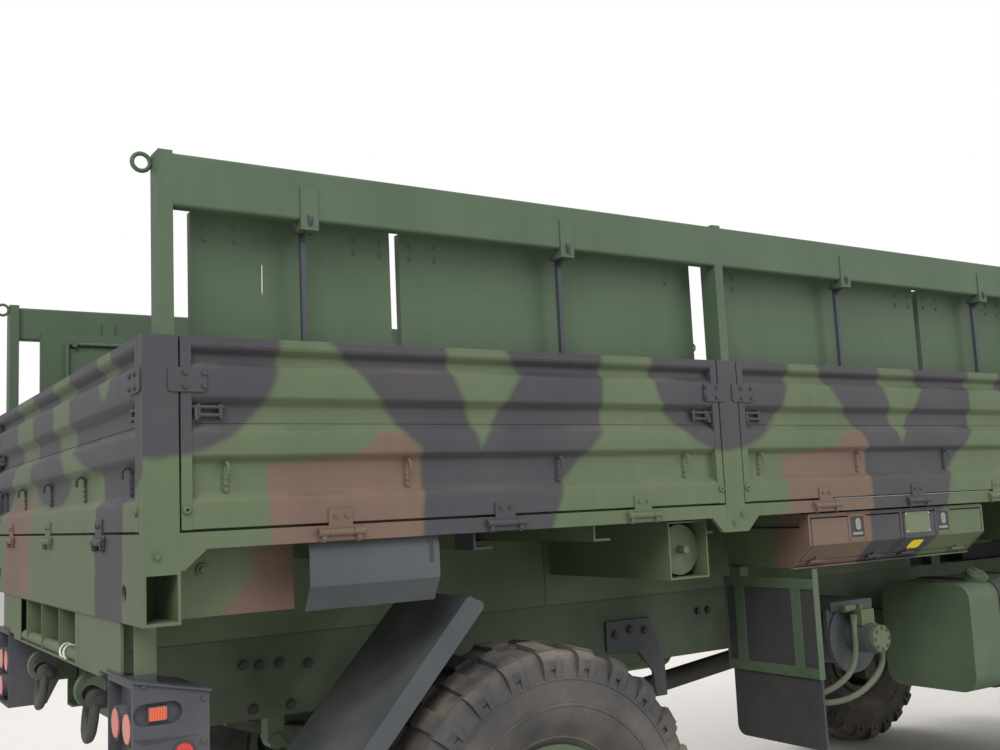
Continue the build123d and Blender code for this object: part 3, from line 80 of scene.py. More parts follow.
# The rack's stakes, from the rear
STAKES = (0.065, 2.0895, 4.120)


def from_rear(distance):
    """The place along X that lies a distance ahead of the body's rear face."""
    return BED_REAR + distance


class TruckPaintSettings(bpy.types.PropertyGroup):
    """Colours and finish of the paints."""

    green: FloatVectorProperty(name="Green", description="Base green of the truck", subtype="COLOR",
                               size=4, min=0, max=1, default=(0.080, 0.109, 0.057, 1))
    plain: FloatVectorProperty(name="Plain green", description="Green of the rack, the tank and the chassis",
                               subtype="COLOR", size=4, min=0, max=1, default=(0.056, 0.090, 0.052, 1))
    brown: FloatVectorProperty(name="Brown", description="Brown camouflage patches", subtype="COLOR",
                               size=4, min=0, max=1, default=(0.128, 0.083, 0.060, 1))
    dark: FloatVectorProperty(name="Dark", description="Dark camouflage patches", subtype="COLOR",
                              size=4, min=0, max=1, default=(0.040, 0.039, 0.046, 1))
    dust: FloatVectorProperty(name="Dust", description="Dust that lies on the paint", subtype="COLOR",
                              size=4, min=0, max=1, default=(0.30, 0.25, 0.19, 1))
    rubber: FloatVectorProperty(name="Rubber", description="Tyres, flaps and hoses", subtype="COLOR",
                                size=4, min=0, max=1, default=(0.032, 0.032, 0.034, 1))
    rust: FloatVectorProperty(name="Rust", description="Rust at chips and bare fittings", subtype="COLOR",
                              size=4, min=0, max=1, default=(0.12, 0.045, 0.02, 1))
    spray_edge: FloatProperty(name="Spray edge", description="Width of a patch's soft edge", unit="LENGTH",
                              min=0.001, max=0.1, default=0.018)
    repeat: FloatProperty(name="Pattern repeat", description="Length of the side pattern", unit="LENGTH",
                          min=1.0, max=5.0, default=2.03)


class TruckFittingSettings(bpy.types.PropertyGroup):
    """Sizes of fasteners and small fittings."""

    bolt_radius: FloatProperty(name="Bolt head", description="Radius of a bolt's head", unit="LENGTH",
                               min=0.002, max=0.05, default=0.009)
    bolt_height: FloatProperty(name="Bolt height", description="Height of a bolt's head", unit="LENGTH",
                               min=0.001, max=0.05, default=0.006)
    hook_wire: FloatProperty(name="Hook bar", description="Radius of a tarpaulin hook's bar", unit="LENGTH",
                             min=0.001, max=0.02, default=0.0048)


class TruckTyreSettings(bpy.types.PropertyGroup):
    """Form of the tyres' tread."""

    lugs: IntProperty(name="Lugs", description="Tread lugs around one shoulder", min=8, max=80, default=24)
    lug_height: FloatProperty(name="Lug height", description="Height of a lug over the groove", unit="LENGTH",
                              min=0.002, max=0.05, default=0.021)
    nuts: IntProperty(name="Wheel nuts", description="Nuts around one hub", min=4, max=20, default=10)


class TruckStageSettings(bpy.types.PropertyGroup):
    """Camera, light and floor."""

    camera_place: FloatVectorProperty(name="Camera place", description="Where the camera stands",
                                      subtype="XYZ", unit="LENGTH", default=(-3.942, -4.072, 1.627))
    yaw: FloatProperty(name="Yaw", description="Turn of the view from straight ahead to the left",
                       default=56.858)
    pitch: FloatProperty(name="Pitch", description="Tilt of the view above the horizon", default=6.829)
    roll: FloatProperty(name="Roll", description="Roll of the camera", default=-2.597)
    focal: FloatProperty(name="Focal length", description="Lens length for a 36 mm wide sensor", default=39.25)
    key: FloatProperty(name="Key light", description="Power of the key light", default=900.0)
    sky: FloatProperty(name="Sky light", description="Strength of the even light", default=0.62)


# Mesh building


def turns(steps, start=0.0):
    """Angles in radians that divide a full turn."""
    return [start + 2 * math.pi * i / steps for i in range(steps)]


def around(plane, radius, turn, height=0.0):
    """A point at a turn about a plane's own Z."""
    return plane @ Vector((radius * math.cos(turn), radius * math.sin(turn), height))


def oblong(left, right, low, high):
    """An oblong between two limits across and two up."""
    return [(left, low), (right, low), (right, high), (left, high)]


class Shape:
    """A mesh that grows from closed boxes, prisms, turned forms and bars."""

    def __init__(self):
        self.bm = bmesh.new()

    def shell(self, rings, cap=True):
        """Skins a row of rings that have the same number of points."""
        rows = [[self.bm.verts.new(p) for p in ring] for ring in rings]
        count = len(rows[0])
        for low, high in zip(rows, rows[1:]):
            for i in range(count):
                j = (i + 1) % count
                self.bm.faces.new((low[i], low[j], high[j], high[i]))
        if cap:
            self.bm.faces.new(list(reversed(rows[0])))
            self.bm.faces.new(rows[-1])
        return self

    def box(self, x, y, z):
        """A block between three pairs of limits."""
        return self.prism(oblong(*y, *z), "X", *x)

    def prism(self, outline, axis, start, end):
        """A flat outline pushed along X or Y from one place to another."""
        if axis == "X":
            return self.shell([[(level, a, b) for a, b in outline] for level in (start, end)])
        return self.shell([[(a, level, b) for a, b in outline] for level in (start, end)])

    def side_box(self, side, x, y, z):
        """A block on one side, between distances from the rear and from the middle, and heights."""
        return self.box([from_rear(v) for v in x], [side * v for v in y], z)

    def side_prism(self, side, outline, y):
        """An outline of (distance from the rear, height), between two distances from the middle."""
        return self.prism([(from_rear(a), b) for a, b in outline], "Y", *(side * v for v in y))

    def cross_prism(self, side, outline, x):
        """An outline of (distance from the middle, height), between two distances from the rear."""
        return self.prism([(side * a, b) for a, b in outline], "X", *map(from_rear, x))

    def plate(self, outline, plane, thickness):
        """A flat outline in a plane's own X and Y, thickened along its Z."""
        return self.shell([[plane @ Vector((a, b, level)) for a, b in outline] for level in (0.0, thickness)])

    def turned(self, profile, plane, steps=32):
        """A closed section of (radius, height) turned about a plane's own Z."""
        rings = [[around(plane, r, turn, h) for r, h in profile] for turn in turns(steps)]
        return self.shell(rings + rings[:1], cap=False)

    def drum(self, plane, radius, low, high, steps=24, ease=0.0):
        """A round block along a plane's own Z, with its two rims eased."""
        rows = [(radius - ease, low), (radius, low + ease), (radius, high - ease), (radius - ease, high)]
        if not ease:
            rows = [(radius, low), (radius, high)]
        return self.shell([[around(plane, r, turn, h) for turn in turns(steps)] for r, h in rows])

    def bar(self, path, radius, steps=10, closed=False):
        """A round bar along a path of points."""
        points = [Vector(p) for p in path]
        count = len(points)
        rings = []
        side = None
        for i, point in enumerate(points):
            before = points[i - 1] if (closed or i > 0) else point
            after = points[(i + 1) % count] if (closed or i < count - 1) else point
            run = (after - before).normalized()
            if side is None:
                side = run.orthogonal().normalized()
            side = (side - run * side.dot(run)).normalized()
            up = run.cross(side)
            rings.append([point + (side * math.cos(turn) + up * math.sin(turn)) * radius for turn in turns(steps)])
        if closed:
            rings.append(rings[0])
        return self.shell(rings, cap=not closed)

    def to_mesh(self, name):
        """The shape as a plain mesh whose faces point outwards."""
        bmesh.ops.recalc_face_normals(self.bm, faces=self.bm.faces)
        mesh = bpy.data.meshes.new(name)
        self.bm.to_mesh(mesh)
        self.bm.free()
        return mesh

    def finish(self, name, body, paint, **values):
        """Turns the shape into a finished piece that rides on a body."""
        bmesh.ops.remove_doubles(self.bm, verts=self.bm.verts, dist=1e-6)
        bmesh.ops.dissolve_degenerate(self.bm, edges=self.bm.edges, dist=1e-7)
        return finish_mesh(self.to_mesh(name), name, body, paint, **values)


def finish_mesh(mesh, name, body, paint, slot=None, edge=0.0, smooth=40.0, replaces=()):
    """Links a mesh as a piece with its finish, its edge rounding and its body."""
    piece = bpy.data.objects.new(name, mesh)
    bpy.context.scene.collection.objects.link(piece)
    mesh.materials.clear()
    mesh.materials.append(MATERIALS[paint])
    mesh.polygons.foreach_set("use_smooth", [True] * len(mesh.polygons))
    mesh.set_sharp_from_angle(angle=math.radians(smooth))
    if edge:
        bevel = piece.modifiers.new("edge", "BEVEL")
        bevel.width = edge
        bevel.segments = 2
        bevel.limit_method = "ANGLE"
        bevel.angle_limit = math.radians(30)
        bevel.harden_normals = True
    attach(piece, body)
    if replaces:
        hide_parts(*replaces)
    return piece


def plane_at(origin, x_axis, z_axis):
    """A plane as a matrix: its origin, its own X and its own Z."""
    z = Vector(z_axis).normalized()
    x = Vector(x_axis)
    x = (x - z * x.dot(z)).normalized()
    matrix = Matrix((x, z.cross(x), z)).transposed().to_4x4()
    matrix.translation = Vector(origin)
    return matrix


def side_plane(distance, z, side, y=HALF_WIDTH):
    """A plane at distances from the rear and the middle: its Y is up and its Z points outwards."""
    return plane_at((from_rear(distance), side * y, z), (-side, 0, 0), (0, side, 0))


def rear_plane(y, z, out=0.0):
    """A plane on the body's rear face: its Y is up and its Z points backwards."""
    return plane_at((BED_REAR - out, y, z), (0, -1, 0), (-1, 0, 0))


def rounded(width, height, radius, steps=4, centre=(0.0, 0.0)):
    """A rectangle with rounded corners, about its centre."""
    points = []
    for turn, sx, sy in ((0, 1, 1), (90, -1, 1), (180, -1, -1), (270, 1, -1)):
        middle = (centre[0] + sx * (width / 2 - radius), centre[1] + sy * (height / 2 - radius))
        points += arc(middle, radius, turn, turn + 90, steps)
    return points


def arc(centre, radius, start, end, steps):
    """Points on an arc between two angles in degrees."""
    angles = [math.radians(start + (end - start) * i / steps) for i in range(steps + 1)]
    return [(centre[0] + radius * math.cos(a), centre[1] + radius * math.sin(a)) for a in angles]


def round_corners(corners, radius, steps):
    """An open line with its inner corners rounded."""
    points = [corners[0]]
    for before, corner, after in zip(corners, corners[1:], corners[2:]):
        b, c, a = Vector(before), Vector(corner), Vector(after)
        reach = min(radius, (b - c).length * 0.45, (a - c).length * 0.45)
        start = c + (b - c).normalized() * reach
        end = c + (a - c).normalized() * reach
        for i in range(steps + 1):
            t = i / steps
            points.append(tuple(start * (1 - t) ** 2 + c * 2 * t * (1 - t) + end * t ** 2))
    points.append(corners[-1])
    return points


def smooth_path(points, steps=4):
    """A path through the points with extra points on a smooth curve between them."""
    ends = [Vector(p) for p in (points[0], *points, points[-1])]
    path = []
    for a, b, c, d in zip(ends, ends[1:], ends[2:], ends[3:]):
        for i in range(steps):
            t = i / steps
            curve = 2 * b + (c - a) * t + (2 * a - 5 * b + 4 * c - d) * t * t + (3 * b - a - 3 * c + d) * t ** 3
            path.append(curve * 0.5)
    return path + [ends[-1]]


# Geometry Nodes trees

MADE = {}


def made_once(build, *given):
    """What a builder makes, made the first time it is asked for."""
    if build not in MADE:
        MADE[build] = build(*given)
    return MADE[build]


def new_tree(name, inputs):
    """A modifier tree with named inputs, as (name, socket type, default), and a material."""
    tree = bpy.data.node_groups.new(name, "GeometryNodeTree")
    tree.is_modifier = True
    for label, kind, default in (("Geometry", "Geometry", None), *inputs, ("Material", "Material", None)):
        socket = tree.interface.new_socket(name=label, in_out="INPUT", socket_type="NodeSocket" + kind)
        if default is not None:
            socket.default_value = default
    tree.interface.new_socket(name="Geometry", in_out="OUTPUT", socket_type="NodeSocketGeometry")
    return tree, tree.nodes.new("NodeGroupInput").outputs


def wire(tree, kind, settings=None, **feeds):
    """Adds a node with its settings and feeds its inputs: a socket is linked, a value is set."""
    node = tree.nodes.new(kind)
    for key, value in (settings or {}).items():
        setattr(node, key, value)
    for key, value in feeds.items():
        numbered = key[0] == "i" and key[1:].isdigit()
        socket = node.inputs[int(key[1:]) if numbered else key.replace("_", " ")]
        if isinstance(value, bpy.types.NodeSocket):
            tree.links.new(value, socket)
        else:
            socket.default_value = value
    return node


def spread(tree, given, points, instance, rotation):
    """Sets a part on points, makes the copies real, gives them their material and puts them out."""
    copies = wire(tree, "GeometryNodeInstanceOnPoints", Points=points, Instance=instance, Rotation=rotation)
    real = wire(tree, "GeometryNodeRealizeInstances", Geometry=copies.outputs[0])
    painted = wire(tree, "GeometryNodeSetMaterial", Geometry=real.outputs[0], Material=given["Material"])
    tree.links.new(painted.outputs[0], tree.nodes.new("NodeGroupOutput").inputs[0])
    return tree


def fastener_tree():
    """Sets a washer and a six sided head on each point, along the point's facing attribute."""
    tree, given = new_tree("truck_fasteners", (
        ("Head Radius", "Float", 0.009),
        ("Head Height", "Float", 0.006),
        ("Washer Radius", "Float", 0.014),
        ("Washer Height", "Float", 0.002),
    ))
    facing = wire(tree, "GeometryNodeInputNamedAttribute", {"data_type": "FLOAT_VECTOR"}, Name="facing")
    turn = wire(tree, "FunctionNodeAlignRotationToVector", {"axis": "Z"}, Vector=facing.outputs["Attribute"])
    top = wire(tree, "ShaderNodeMath", {"operation": "MULTIPLY"}, i0=given["Head Radius"], i1=0.9)
    head = wire(tree, "GeometryNodeMeshCone", i0=6, Radius_Top=top.outputs[0], Radius_Bottom=given["Head Radius"],
                Depth=given["Head Height"])
    lift = wire(tree, "ShaderNodeCombineXYZ", Z=given["Washer Height"])
    raised = wire(tree, "GeometryNodeTransform", Geometry=head.outputs["Mesh"], Translation=lift.outputs[0])
    thick = wire(tree, "ShaderNodeMath", {"operation": "MULTIPLY"}, i0=given["Washer Height"], i1=2.0)
    washer = wire(tree, "GeometryNodeMeshCylinder", i0=14, Radius=given["Washer Radius"], Depth=thick.outputs[0])
    joined = tree.nodes.new("GeometryNodeJoinGeometry")
    for part in (raised.outputs[0], washer.outputs["Mesh"]):
        tree.links.new(part, joined.inputs[0])
    return spread(tree, given, given["Geometry"], joined.outputs[0], turn.outputs[0])


def ring_tree():
    """Repeats the piece around a line along Y through a centre."""
    tree, given = new_tree("truck_ring", (("Count", "Int", 12), ("Centre", "Vector", (0.0, 0.0, 0.0))))
    away = wire(tree, "ShaderNodeVectorMath", {"operation": "SCALE"}, i0=given["Centre"], Scale=-1.0)
    centred = wire(tree, "GeometryNodeTransform", Geometry=given["Geometry"], Translation=away.outputs[0])
    points = wire(tree, "GeometryNodePoints", Count=given["Count"], Position=given["Centre"])
    index = tree.nodes.new("GeometryNodeInputIndex")
    share = wire(tree, "ShaderNodeMath", {"operation": "DIVIDE"}, i0=index.outputs[0], i1=given["Count"])
    angle = wire(tree, "ShaderNodeMath", {"operation": "MULTIPLY"}, i0=share.outputs[0], i1=2 * math.pi)
    turn = wire(tree, "ShaderNodeCombineXYZ", Y=angle.outputs[0])
    return spread(tree, given, points.outputs[0], centred.outputs[0], turn.outputs[0])


def run_tree(mesh, tree, **inputs):
    """Runs a tree on a mesh and gives the result as a plain mesh."""
    carrier = bpy.data.objects.new("carrier", mesh)
    bpy.context.scene.collection.objects.link(carrier)
    modifier = carrier.modifiers.new("tree", "NODES")
    modifier.node_group = tree
    sockets = {item.name: item.identifier for item in tree.interface.items_tree if item.in_out == "INPUT"}
    for label, value in inputs.items():
        modifier[sockets[label.replace("_", " ")]] = value
    bpy.context.view_layer.update()
    evaluated = carrier.evaluated_get(bpy.context.evaluated_depsgraph_get())
    result = bpy.data.meshes.new_from_object(evaluated)
    carrier.modifiers.remove(modifier)
    bpy.data.objects.remove(carrier)
    return result


def add_fasteners(name, body, places, paint, slot=None, radius=0.009, height=0.006, washer=0.014):
    """Bolt heads with washers on planes whose Z they face, as one piece on one body."""
    mesh = bpy.data.meshes.new(name + "_points")
    mesh.from_pydata([tuple(place.translation) for place in places], [], [])
    facing = mesh.attributes.new("facing", "FLOAT_VECTOR", "POINT")
    facing.data.foreach_set("vector", [c for place in places for c in place.col[2].to_3d()])
    result = run_tree(mesh, made_once(fastener_tree), Head_Radius=radius, Head_Height=height,
                      Washer_Radius=washer, Washer_Height=0.0018, Material=MATERIALS[paint])
    return finish_mesh(result, name, body, paint, slot=slot, smooth=30)


# Shader building


class Nodes:
    """Adds shader nodes to a tree, one short call for each."""

    def __init__(self, tree):
        self.tree = tree

    def add(self, kind, **settings):
        node = self.tree.nodes.new(kind)
        for key, value in settings.items():
            setattr(node, key, value)
        return node

    def feed(self, socket, value):
        if isinstance(value, bpy.types.NodeSocket):
            self.tree.links.new(value, socket)
        elif value is not None:
            if socket.type == "VECTOR":
                value = tuple(value)[:3]
            socket.default_value = value

    def feed_all(self, sockets, values):
        for socket, value in zip(sockets, values):
            self.feed(socket, value)

    def math(self, operation, *values):
        node = self.add("ShaderNodeMath", operation=operation)
        self.feed_all(node.inputs, values)
        return node.outputs[0]

    def plus(self, a, b):
        return self.math("ADD", a, b)

    def minus(self, a, b):
        return self.math("SUBTRACT", a, b)

    def times(self, first, *others):
        for other in others:
            first = self.math("MULTIPLY", first, other)
        return first

    def scaled(self, value, factor, start):
        return self.math("MULTIPLY_ADD", value, factor, start)

    def over(self, value, limit):
        return self.math("GREATER_THAN", value, limit)

    def under(self, value, limit):
        return self.math("LESS_THAN", value, limit)

    def size(self, value):
        return self.math("ABSOLUTE", value)

    def vector(self, operation, *values, scale=None):
        node = self.add("ShaderNodeVectorMath", operation=operation)
        self.feed_all(node.inputs, values)
        if scale is not None:
            self.feed(node.inputs["Scale"], scale)
        return node.outputs["Value"] if operation in ("LENGTH", "DOT_PRODUCT") else node.outputs[0]

    def join(self, x, y, z=0.0):
        node = self.add("ShaderNodeCombineXYZ")
        self.feed_all(node.inputs, (x, y, z))
        return node.outputs[0]

    def split(self, vector):
        node = self.add("ShaderNodeSeparateXYZ")
        self.feed(node.inputs[0], vector)
        return node.outputs

    def mix(self, factor, a, b):
        """A colour between two colours."""
        node = self.add("ShaderNodeMix", data_type="RGBA")
        self.feed_all((node.inputs[0], node.inputs[6], node.inputs[7]), (factor, a, b))
        return node.outputs[2]

    def blend(self, factor, a, b):
        """A number between two numbers."""
        node = self.add("ShaderNodeMix", data_type="FLOAT")
        self.feed_all((node.inputs[0], node.inputs[2], node.inputs[3]), (factor, a, b))
        return node.outputs[0]

    def step(self, value, low, high, out_low=0.0, out_high=1.0):
        """A smooth step of a value between two limits."""
        node = self.add("ShaderNodeMapRange", interpolation_type="SMOOTHSTEP")
        self.feed_all(node.inputs, (value, low, high, out_low, out_high))
        return node.outputs[0]

    def noise(self, vector, scale, detail=2.0, roughness=0.5, distortion=0.0):
        node = self.add("ShaderNodeTexNoise")
        sockets = [node.inputs[label] for label in ("Vector", "Scale", "Detail", "Roughness", "Distortion")]
        self.feed_all(sockets, (vector, scale, detail, roughness, distortion))
        return node.outputs["Fac"]

    def group(self, tree, **feeds):
        node = self.add("ShaderNodeGroup", node_tree=tree)
        self.feed_all([node.inputs[label] for label in feeds], feeds.values())
        return node.outputs


def shader_group(name, inputs, outputs):
    """A shader node group with named sockets, and its helper."""
    tree = bpy.data.node_groups.new(name, "ShaderNodeTree")
    for label, kind, default in inputs:
        socket = tree.interface.new_socket(name=label, in_out="INPUT", socket_type="NodeSocket" + kind)
        if default is not None:
            socket.default_value = default
    for label in outputs:
        tree.interface.new_socket(name=label, in_out="OUTPUT", socket_type="NodeSocketFloat")
    nodes = Nodes(tree)
    return tree, nodes, nodes.add("NodeGroupInput").outputs, nodes.add("NodeGroupOutput").inputs


def left_of(nodes, point, low, high):
    """How far a point lies to the left of the line that runs from low to high."""
    run = Vector((high[0] - low[0], high[1] - low[1])).normalized()
    away = (-run.y, run.x, 0.0)
    return nodes.minus(nodes.vector("DOT_PRODUCT", point, away), away[0] * low[0] + away[1] * low[1])


def inside_blob(nodes, point, centre, radii):
    """How far a point lies inside an ellipse."""
    offset = nodes.vector("SUBTRACT", point, (centre[0], centre[1], 0.0))
    shrunk = nodes.vector("MULTIPLY", offset, (1 / radii[0], 1 / radii[1], 0.0))
    return nodes.times(nodes.minus(1.0, nodes.vector("LENGTH", shrunk)), min(radii))


def both(nodes, first, *others, width=0.02):
    """The smooth least of several distances: inside all of them."""
    for other in others:
        first = nodes.math("SMOOTH_MIN", first, other, width)
    return first


def either(nodes, first, other, width=0.02):
    """The smooth greatest of two distances: inside one of them."""
    return nodes.math("SMOOTH_MAX", first, other, width)


def within(nodes, point, width, *lines):
    """How far a point lies to the left of all the lines, each from one place to another."""
    return both(nodes, *(left_of(nodes, point, line[:2], line[2:]) for line in lines), width=width)


def side_patches(nodes, point):
    """Dark and brown patches of the body's sides. The point is (along the pattern, over the panel's foot)."""
    corner = inside_blob(nodes, point, (0.045, 0.500), (0.335, 0.305))
    far_corner = inside_blob(nodes, point, (2.075, 0.500), (0.335, 0.305))
    arm = either(nodes, left_of(nodes, point, (0.545, 0.515), (0.785, 0.250)),
                 left_of(nodes, point, (0.830, 0.600), (0.815, -0.600)))
    foot = either(nodes, left_of(nodes, point, (1.350, 0.105), (1.512, 0.262)),
                  left_of(nodes, point, (1.280, -0.060), (1.345, 0.110)))
    vee = both(nodes, arm, left_of(nodes, point, (1.512, -0.600), (1.512, 0.600)), foot)
    wedge = within(nodes, point, 0.012, (0.900, 0.530, 1.028, 0.200), (1.028, 0.200, 1.196, 0.440),
                   (1.196, 0.430, 1.120, 0.530))
    vee = nodes.math("MINIMUM", vee, nodes.times(wedge, -1.0))
    dark = nodes.math("MAXIMUM", nodes.math("MAXIMUM", corner, far_corner), vee)
    low_patch = within(nodes, point, 0.03, (0.350, 0.600, 0.345, -0.600), (0.623, 0.196, 0.370, 0.170))
    low_patch = both(nodes, low_patch, left_of(nodes, point, (1.000, -0.600), (1.000, 0.600)))
    tongue = within(nodes, point, 0.03, (0.690, 0.270, 0.600, 0.165), (0.800, 0.262, 0.600, 0.256),
                    (1.000, -0.600, 1.000, 0.600))
    return dark, either(nodes, low_patch, tongue, width=0.03)


def rear_patches(nodes, point):
    """Dark and brown patches of the tailgate and rear sill. The point is (Y, over the panel's foot)."""
    top = within(nodes, point, 0.04, (-0.340, -0.600, -0.340, 0.600), (-0.720, 0.165, -0.400, 0.250),
                 (-1.250, 0.180, -1.030, 0.030))
    stem = within(nodes, point, 0.03, (-0.680, -0.600, -0.710, 0.300), (-1.020, 0.300, -0.990, -0.600),
                  (0.000, 0.260, -1.000, 0.260))
    notch = inside_blob(nodes, point, (-0.803, 0.500), (0.085, 0.125))
    first = nodes.math("MINIMUM", either(nodes, top, stem, width=0.05), nodes.times(notch, -1.0))
    middle = within(nodes, point, 0.02, (-0.060, 0.600, -0.060, -0.600), (0.300, -0.600, 0.300, 0.600),
                    (-1.000, 0.230, 1.000, 0.230))
    second = either(nodes, middle, inside_blob(nodes, point, (0.060, 0.190), (0.290, 0.100)), width=0.05)
    third = within(nodes, point, 0.05, (0.640, 0.600, 0.610, -0.600), (0.600, 0.300, 1.000, 0.080))
    dark = nodes.math("MAXIMUM", nodes.math("MAXIMUM", first, second), third)
    brown = within(nodes, point, 0.04, (0.330, 0.300, 0.400, -0.600), (0.920, -0.600, 0.900, 0.300),
                   (1.000, 0.130, -1.000, 0.130))
    return dark, brown


# Where the side pattern starts, where it turns back on the left side, and where the cab begins
PATTERN_START = -0.42
PATTERN_TURN = 3.45
CAB_START = 4.25


def camouflage_group(paint):
    """Puts out how far each point lies in the dark and the brown patches."""
    tree, nodes, given, wanted = shader_group(
        "truck_camouflage",
        (("Point", "Vector", None), ("Normal", "Vector", None), ("Edge", "Float", 0.012)),
        ("Dark", "Brown", "Rim"),
    )
    wobble = nodes.times(nodes.minus(nodes.noise(given["Point"], 5.0, 2.0), 0.5), 0.035)
    x, y, z = nodes.split(given["Point"])
    along = nodes.minus(x, BED_REAR)
    run = nodes.blend(nodes.over(y, 0.6), along, nodes.minus(PATTERN_TURN, along))
    height = nodes.minus(z, PANEL_BOTTOM)
    up = nodes.plus(height, wobble)
    wrapped = nodes.math("WRAP", run, paint.repeat + PATTERN_START, PATTERN_START)
    side = side_patches(nodes, nodes.join(nodes.plus(wrapped, wobble), up))
    rear = rear_patches(nodes, nodes.join(nodes.plus(y, wobble), up))
    facing = nodes.size(nodes.split(given["Normal"])[0])
    across = nodes.size(y)
    on_rear = nodes.math("MAXIMUM", nodes.times(nodes.over(facing, 0.72), nodes.under(along, 0.11)),
                         nodes.times(nodes.under(along, 0.045), nodes.under(across, 1.17)))
    on_cab = nodes.over(along, CAB_START)
    # What hangs inside, under the floor, is plain green
    inner = nodes.times(nodes.under(across, 1.03), nodes.under(height, -0.02), nodes.over(along, 0.05),
                        nodes.minus(1.0, on_cab))
    half = nodes.times(given["Edge"], 0.5)
    # Each colour: its patches on the side and on the rear, and its clouds on the cab
    for label, on_side, on_gate, shift, scale, limit in (("Dark", side[0], rear[0], (0.0, 0.0, 0.0), 0.85, 0.545),
                                                         ("Brown", side[1], rear[1], (7.3, 2.1, 4.4), 0.75, 0.53)):
        cloud = nodes.noise(nodes.vector("ADD", given["Point"], shift), scale, 1.0, 0.4, 0.7)
        cloud = nodes.times(nodes.minus(cloud, limit), 1.1)
        reach = nodes.minus(nodes.blend(on_cab, nodes.blend(on_rear, on_side, on_gate), cloud), inner)
        nodes.feed(wanted[label], nodes.step(reach, nodes.times(half, -1.0), half))
        if label == "Dark":
            nodes.feed(wanted["Rim"], nodes.step(nodes.size(reach), 0.0, given["Edge"], 1.0, 0.0))
    return tree


def weather_group():
    """Puts out dust, stain and scratch masks and a fine height for painted metal."""
    tree, nodes, given, wanted = shader_group(
        "truck_weather",
        (("Point", "Vector", None), ("Normal", "Vector", None), ("Dust", "Float", 0.4), ("Wear", "Float", 0.3)),
        ("Dust Mask", "Stain", "Scratch", "Height"),
    )
    point = given["Point"]
    patch = nodes.noise(point, 3.5, 5.0, 0.6)
    speck = nodes.noise(point, 90.0, 3.0, 0.7)
    low = nodes.step(nodes.split(point)[2], 0.2, 1.7, 1.0, 0.12)
    flat = nodes.step(nodes.split(given["Normal"])[2], 0.2, 0.95)
    lie = nodes.plus(nodes.times(low, 0.55), nodes.times(flat, 0.6))
    lie = nodes.times(lie, nodes.step(patch, 0.3, 0.75), nodes.scaled(speck, 0.6, 0.6))
    nodes.feed(wanted["Dust Mask"], nodes.times(lie, given["Dust"]))
    streak = nodes.noise(nodes.vector("MULTIPLY", point, (14.0, 14.0, 1.1)), 1.0, 4.0, 0.6)
    nodes.feed(wanted["Stain"], nodes.plus(nodes.times(nodes.minus(streak, 0.5), 0.9),
                                           nodes.times(nodes.minus(patch, 0.5), 1.1)))
    torn = nodes.noise(point, 42.0, 5.0, 0.75)
    where = nodes.noise(point, 2.2, 2.0, 0.5)
    chip = nodes.times(nodes.step(torn, 0.66, 0.70), nodes.step(where, 0.5, 0.62))
    nodes.feed(wanted["Scratch"], nodes.times(chip, given["Wear"]))
    grain = nodes.noise(point, 260.0, 2.0, 0.6)
    wave = nodes.noise(point, 5.0, 2.0, 0.5)
    nodes.feed(wanted["Height"], nodes.plus(nodes.times(grain, 0.16), nodes.times(wave, 1.6)))
    return tree


def start_material(name):
    """An empty material with its shader, helper and coordinates."""
    material = bpy.data.materials.new(name)
    material.use_nodes = True
    tree = material.node_tree
    tree.nodes.clear()
    nodes = Nodes(tree)
    output = nodes.add("ShaderNodeOutputMaterial")
    shader = nodes.add("ShaderNodeBsdfPrincipled")
    tree.links.new(shader.outputs[0], output.inputs[0])
    place = nodes.add("ShaderNodeTexCoord")
    return material, nodes, shader, place.outputs["Object"], place.outputs["Normal"]


def finish_shader(nodes, shader, colour, height, distance, strength, **constants):
    """Feeds the shader's colour and its bump, and sets what is the same all over."""
    nodes.feed(shader.inputs["Base Color"], colour)
    bump = nodes.add("ShaderNodeBump")
    bump.inputs["Strength"].default_value = strength
    bump.inputs["Distance"].default_value = distance
    nodes.feed(bump.inputs["Height"], height)
    nodes.feed(shader.inputs["Normal"], bump.outputs[0])
    for label, value in constants.items():
        shader.inputs[label.replace("_", " ")].default_value = value


